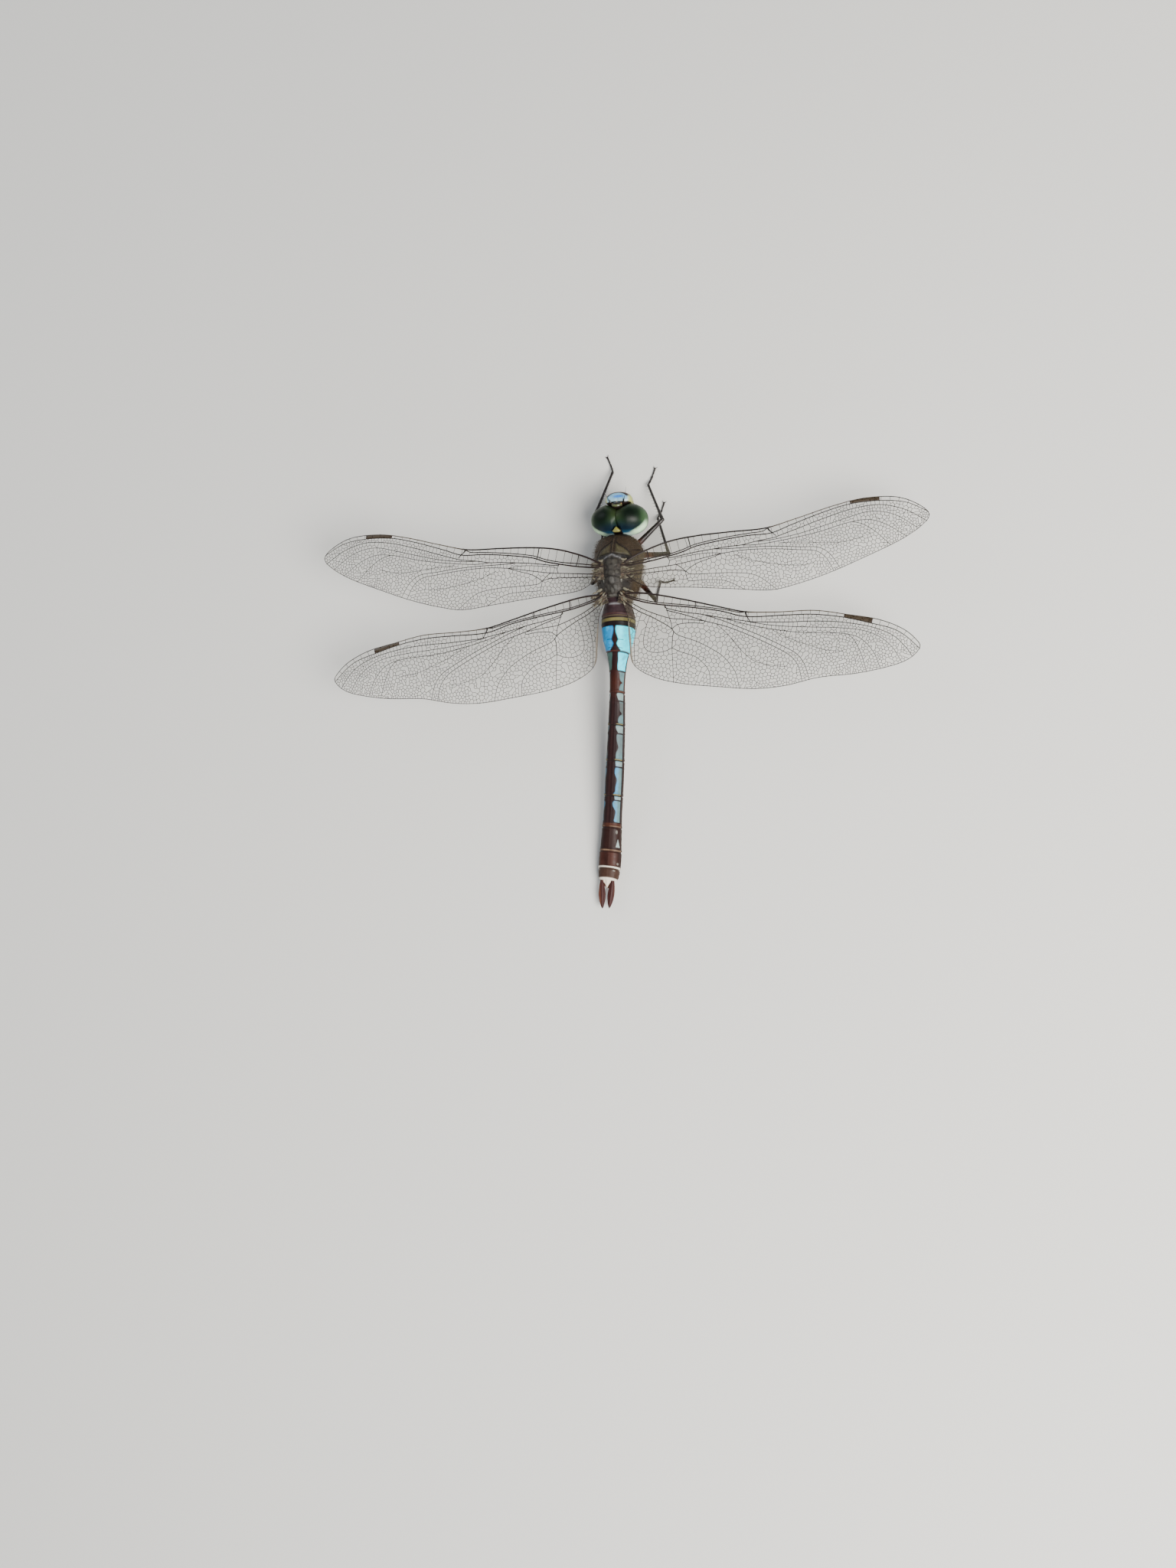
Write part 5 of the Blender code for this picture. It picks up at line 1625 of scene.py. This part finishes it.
def chin():
    """The underside of the mouth, with grooves between its plates."""
    points, faces, way = block(*CHIN, 48, 72)
    wide, y, z = abs(points[:, 0]), points[:, 1], points[:, 2]
    side_groove = bump(wide, 1.15 + 0.12 * (y + 12), 0.14)
    relief = (-0.16 * side_groove * (z < 4.6) - 0.12 * bump(points[:, 0], 0, 0.10) * (z < 4.4)
              - 0.14 * bump(y, -11.2, 0.14) * (z < 4.4) + 0.02 * wrinkle(points, 0.9, 21))
    points = points + way * relief[:, None]
    paint = plain(points, (140, 122, 68))
    lay(paint, 0.7 * rise(0.3, 1.0, wrinkle(points, 2.5, 31)), (98, 74, 44))
    lay(paint, 0.9 * side_groove, DARK_BROWN)
    return points, faces, paint


def on_side(side, block_sizes):
    """A block of the left side, or its like on the other side, as what block() takes."""
    (x, y, z), *rest = block_sizes
    return ((side * x, y, z), *rest)


def cheek_and_mandible(side):
    """The cheek and the toothed jaw below it, dark toward its tip."""
    mandible = block(*on_side(side, MANDIBLE))
    points, faces, paint = coloured(mandible, (172, 158, 92))
    lay(paint, 1 - rise(-14.1, -13.8, points[:, 1]), (54, 32, 22))
    return [coloured(block(*on_side(side, CHEEK)), (132, 134, 92)), (points, faces, paint)]


def back_of_head():
    """The hollow rear of the head, and the small yellow triangle behind the meeting of the eyes."""
    points, faces, _ = block(*HEAD_BACK, 60, 80)
    wide = abs(points[:, 0])
    paint = plain(points, BLACK)
    lay(paint, 0.5 * (1 - rise(1.4, 2.2, abs(points[:, 2] - 6.2))) * rise(1.2, 2.2, wide), (104, 100, 66))
    parts = [(points, faces, paint)]
    points, faces, _ = block(*HEAD_TRIANGLE, 32, 48)
    points[:, 0] *= np.clip((points[:, 1] + 9.42) / 0.85, 0.08, 1)
    paint = plain(points, (108, 107, 48))
    lay(paint, 0.6 * rise(-8.75, -8.5, points[:, 1]), (128, 126, 80))
    lay(paint, 1 - rise(9.2, 9.4, points[:, 2]), BLACK)
    return [*parts, (points, faces, paint)]


def vertex():
    """The black knob before the eyes, with a pale crescent and the three small eyes round it."""
    points, faces, _ = block(*VERTEX, 36, 56)
    arc = points[:, 1] + 0.22 * (points[:, 0] / 0.8) ** 2
    paint = plain(points, (24, 18, 15))
    lay(paint, band(arc, -13.10, -12.76, 0.05) * (points[:, 2] > 9.0), (74, 80, 50))
    ocelli = [coloured(block(place, (OCELLUS_RADIUS,) * 3, 2.0, 2.0, 12, 16), (130, 102, 60))
              for place in OCELLI]
    return [(points, faces, paint), *ocelli]


def antenna(side):
    """A feeler: two thick joints at its foot and a bristle that bends a little."""
    start, end = (np.array((side * x, y, z)) for x, y, z in ANTENNA)
    share = np.linspace(0, 1, 34)
    bend = np.array((side * 0.12, -0.1, 0.15)) * np.sin(share * math.pi)[:, None]
    radii = np.interp(share, *zip(*ANTENNA_RADII))
    return coloured(rod(start + (end - start) * share[:, None] + bend, radii, 12), BLACK)


def build_head(materials):
    """The six pieces of the head, then the eye and the feeler of each side."""
    jaws = [chin(), *cheek_and_mandible(1), *cheek_and_mandible(-1)]
    for name, shape, material, slot in (
            ("frons", frons(), "face", "face"),
            ("clypeus", clypeus(), "face", "face"),
            ("labrum", labrum(), "face", "mouthparts"),
            ("jaws", join(jaws), "face", "mouthparts"),
            ("head", join(back_of_head()), "cuticle", "head_cuticle"),
            ("vertex", join(vertex()), "cuticle", "head_cuticle")):
        piece(name + "_skin", shape, materials[material], slot, (name,))
    for label, side in (("left", 1), ("right", -1)):
        points, faces = through_rings(eye_rings(side))
        eye, feeler = "eye_" + label, "antenna_" + label
        piece(eye + "_skin", (points, faces, eye_colours(points)), materials["eye"], "eye", (eye,))
        piece(feeler + "_skin", antenna(side), materials["leg"], "antenna", (feeler,))


# ---------------------------------------------------------------- legs

def spines(start, end, count, length, way, lean, radius=0.045):
    """Parts of a row of slender spines along a length of leg."""
    parts = []
    along = unit(end - start)
    for k in range(count):
        foot = start + (end - start) * (0.12 + 0.82 * k / max(count - 1, 1))
        tip = foot + (way + along * lean) * length * (1.0 - 0.35 * k / count)
        tip[2] = max(tip[2], 0.03)
        path = [foot, foot * 0.5 + tip * 0.5 + along * 0.03, tip]
        parts.append(coloured(rod(path, (radius, radius * 0.7, 0.012), 5, overhead=(0.3, 0.2, 1)), BLACK))
    return parts


def limb(start, end, radii, sides):
    """Points and faces of a straight length of leg, with its radii by share of the length."""
    share = np.linspace(0, 1, 30)[:, None]
    return rod(start + (end - start) * share, np.interp(share[:, 0], *zip(*radii)), sides)


def femur(hip, knee, reddish):
    """The thigh, reddish from the hip to a share of its length."""
    points, faces = limb(hip, knee, FEMUR_RADII, 16)
    along = np.clip((points - hip) @ (knee - hip) / ((knee - hip) @ (knee - hip)), 0, 1)
    paint = plain(points, (30, 24, 22))
    lay(paint, 0.9 * (1 - rise(reddish - 0.25, reddish + 0.1, along)), (76, 38, 28))
    return points, faces, paint


def toe(begin, end, radius):
    """One joint of the foot, flat on the floor."""
    share = np.linspace(0, 1, 12)
    path = begin + (end - begin) * share[:, None]
    path[:, 2] = np.maximum(path[:, 2], 0.17)
    points, faces = rod(path, radius * np.interp(share, *zip(*TOE_SHAPE)), 12)
    points[:, 2] = np.maximum(points[:, 2], 0.0)
    return coloured((points, faces), BLACK)


def leg_spines(hip, knee, ankle, toes):
    """Two rows of spines under the shin and the thigh, and short ones under the foot."""
    thigh, shin = unit(knee - hip), unit(ankle - knee)
    fold = unit(np.cross(thigh, shin))
    inner = unit(np.cross(shin, fold))
    inner = inner if inner @ (hip - knee) > 0 else -inner
    under_thigh = -np.cross(fold, thigh)
    parts = []
    for lean_out in (0.75, -0.75):
        parts += spines(knee, ankle, 11, 0.75, unit(inner + fold * lean_out), 0.35)
        parts += spines(hip * 0.65 + knee * 0.35, knee, 7, 0.4, unit(under_thigh + fold * lean_out), 0.3)
    for begin, end in zip(toes, toes[1:]):
        parts += spines(begin, end, 4, 0.22, unit(inner * 0.4 + np.array((0, 0, -0.5))), 0.8, 0.03)
    return parts


def claws(ball, claw):
    """Two curved hooks, side by side at the end of the foot."""
    way = unit(claw - ball)
    across = unit(np.cross(way, np.array((0, 0, 1.0))))
    bend = np.linspace(0, 1, 12)[:, None]
    hooks = []
    for side in (1, -1):
        path = (claw - way * 0.32 + way * 0.62 * bend ** 0.9 + across * side * (0.06 + 0.3 * bend)
                + np.array((0, 0, 0.12)) * np.sin(bend * math.pi))
        path[:, 2] = np.maximum(path[:, 2] - 0.1 * bend[:, 0] ** 2, 0.05)
        hooks.append(coloured(rod(path, np.interp(bend[:, 0], *zip(*CLAW_RADII)), 8), (34, 22, 18)))
    return hooks


def build_leg(name, joints, materials):
    """A leg as two pieces: from the hip to the foot with its spines, and the claws."""
    hip, knee, ankle, ball, claw = (np.array(j, float) for j in joints)
    toes = (ankle, ankle * 0.3 + ball * 0.7, ball * 0.72 + claw * 0.28, claw)
    parts = [femur(hip, knee, 0.35 if "fore" in name else 0.62),
             coloured(block(hip, COXA_SIZE, 2.2, 2.2, 16, 24), (72, 56, 42)),
             coloured(block(knee, (KNEE_RADIUS,) * 3, 2.0, 2.0, 12, 16), BLACK),
             coloured(limb(knee, ankle, TIBIA_RADII, 14), (28, 22, 20))]
    parts += [toe(begin, end, radius) for begin, end, radius in zip(toes, toes[1:], TOE_RADII)]
    parts += leg_spines(hip, knee, ankle, toes)
    nodes = [f"{name}_{part}" for part in ("femur", "tibia", "tarsus")]
    piece(name + "_skin", join(parts), materials["leg"], "leg", nodes)
    piece(name + "_claws", join(claws(ball, claw)), materials["leg"], "leg")


# ---------------------------------------------------------------- down

def hair(root, outward, length, lean):
    """Seven points of one hair: three round its foot, three round its bend, and its tip."""
    tip = root + (outward + lean) * length
    middle = root + outward * length * 0.6 + lean * length * 0.3
    side = np.cross(outward, np.array((0, 1.0, 0)))
    side = side / max(np.linalg.norm(side), 1e-6) * HAIR_RADIUS
    ahead = np.array((0, HAIR_RADIUS, 0))
    foot = root - outward * 0.05
    return [foot + side, foot - side, foot + ahead,
            middle + side * 0.7, middle - side * 0.7, middle + ahead * 0.7, tip]


def build_down(material):
    """Short soft hairs on the front and flanks of the trunk, each rooted on its skin."""
    draw = random.Random(5)
    points, faces, colours, corners = [], [], [], []
    while len(points) < HAIRS * 7:
        y, angle = draw.uniform(-7.7, 2.8), draw.uniform(0, math.tau)
        root, up = thorax_point(np.array([y]), np.array([angle]))
        root, up = root[0], float(up[0])
        if up > 0.55 and y > -4.3:
            continue
        outward = np.array((root[0], 0, root[2] - THORAX_MIDDLE))
        outward /= np.linalg.norm(outward)
        length = draw.uniform(0.35, 1.0) * (0.35 if up > 0.45 else 0.9)
        lean = np.array((draw.uniform(-0.35, 0.35), draw.uniform(0.2, 0.9), draw.uniform(-0.45, 0.1)))
        count = len(points)
        points += hair(root, outward, length, lean)
        faces += [(count + a, count + b, count + b + 3, count + a + 3) for a, b in HAIR_SIDES]
        faces += [(count + a + 3, count + b + 3, count + 6) for a, b in HAIR_SIDES]
        faces.append((count + 2, count + 1, count))
        colours += [screen(88, 74, 58) * draw.uniform(0.7, 1.3)] * 7
        u, v = angle / math.tau, (y - THORAX_FRONT) / (THORAX_END - THORAX_FRONT)
        corners += [(u + HAIR_PATCH * a, v + HAIR_PATCH * b) for a, b in HAIR_CORNERS]
    down = piece("thorax_down", (np.array(points), faces, np.array(colours)), material, "thorax")
    layer = down.data.uv_layers.new(name="OFBake")
    at = [corners[loop.vertex_index] for loop in down.data.loops]
    layer.data.foreach_set("uv", np.array(at, np.float32).ravel())


# ---------------------------------------------------------------- stage

def build_floor():
    """A pale matt floor, far wider than the animal."""
    mesh = bpy.data.meshes.new("floor")
    corners = [(x * FLOOR_REACH, y * FLOOR_REACH, 0) for x, y in ((-1, -1), (1, -1), (1, 1), (-1, 1))]
    mesh.from_pydata(corners, [], [(0, 1, 2, 3)])
    floor = in_scene("floor", mesh)
    material = bpy.data.materials.new("floor")
    material.use_nodes = True
    shader = material.node_tree.nodes["Principled BSDF"]
    shader.inputs["Base Color"].default_value = (0.66, 0.65, 0.62, 1)
    shader.inputs["Roughness"].default_value = 0.85
    mesh.materials.append(material)


def build_lights():
    """A soft sky and three round lamps, all turned to the middle of the floor."""
    world = bpy.data.worlds.new("studio")
    bpy.context.scene.world = world
    world.use_nodes = True
    sky = world.node_tree.nodes["Background"].inputs
    sky["Color"].default_value = (0.86, 0.92, 1.0, 1)
    sky["Strength"].default_value = 0.42
    for name, place, size, watts, colour in LAMPS:
        lamp = bpy.data.lights.new(name, "AREA")
        lamp.shape, lamp.size, lamp.energy, lamp.color = "DISK", size, watts, colour
        holder = in_scene(name, lamp)
        holder.location = place
        holder.rotation_euler = (-Vector(place)).to_track_quat("-Z", "Y").to_euler()


def build_camera():
    """A camera that looks at its target with the head upward in the frame."""
    place, target = (Vector(p) * MM + Vector(ROOT) for p in (CAMERA_PLACE, CAMERA_TARGET))
    camera = bpy.data.cameras.new("camera")
    camera.lens = CAMERA_LENS
    camera.sensor_width = CAMERA_SENSOR
    camera.clip_start, camera.clip_end = 0.01, 20.0
    holder = in_scene("camera", camera)
    holder.location = place
    forward = (target - place).normalized()
    right = forward.cross(Vector((0, -1, 0))).normalized()
    upward = right.cross(forward)
    basis = np.array((right, upward, -forward)).T
    holder.rotation_euler = Matrix(basis.tolist()).to_euler()
    bpy.context.scene.camera = holder


for old in list(bpy.data.objects):
    bpy.data.objects.remove(old, do_unlink=True)
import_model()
low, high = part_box("thorax")
ROOT = np.array(((low.x + high.x) / 2, low.y - THORAX_FRONT * MM, 0.0))

MATERIALS = {
    "vein": painted("wing_vein", 0.38, mottle=0.2, mottle_scale=900, specular=0.35),
    "membrane": membrane_material(),
    "stigma": painted("pterostigma", 0.3, mottle=0.25, mottle_scale=1800, coat=0.2),
    "pruina": painted("pruinose_film", 0.6, mottle=0.25, mottle_scale=2200),
    "thorax": painted("thorax_cuticle", 0.58, mottle=0.3, mottle_scale=1500, grain=0.7, grain_scale=6000,
                      grain_height=0.03, specular=0.22),
    "abdomen": painted("abdomen_cuticle", 0.48, mottle=0.16, mottle_scale=1600, grain=0.6, grain_scale=8000,
                       grain_height=0.014, specular=0.14),
    "cuticle": painted("head_cuticle", 0.35, mottle=0.2, specular=0.4),
    "face": painted("face_cuticle", 0.32, mottle=0.14, mottle_scale=2000, grain=0.5, grain_scale=7000,
                    grain_height=0.01, coat=0.1, specular=0.4),
    "eye": painted("compound_eye", 0.40, mottle=0.12, mottle_scale=900, grain=0.25, grain_scale=24000,
                   grain_height=0.003, specular=0.13, pores=True, gloss_change=0.03),
    "leg": painted("leg_cuticle", 0.3, mottle=0.25, coat=0.1, specular=0.4),
    "down": painted("down", 0.7, mottle=0.2, grain=0.0),
}
build_floor()
build_lights()
build_camera()
for wing_kind in WINGS:
    for wing_label in ("left", "right"):
        build_wing(wing_kind, wing_label, MATERIALS)
build_thorax(MATERIALS)
build_hinges(MATERIALS)
build_abdomen(MATERIALS)
build_tail(MATERIALS)
build_head(MATERIALS)
for leg_name, leg_joints in LEG_JOINTS.items():
    build_leg(leg_name, leg_joints, MATERIALS)
build_down(MATERIALS["down"])
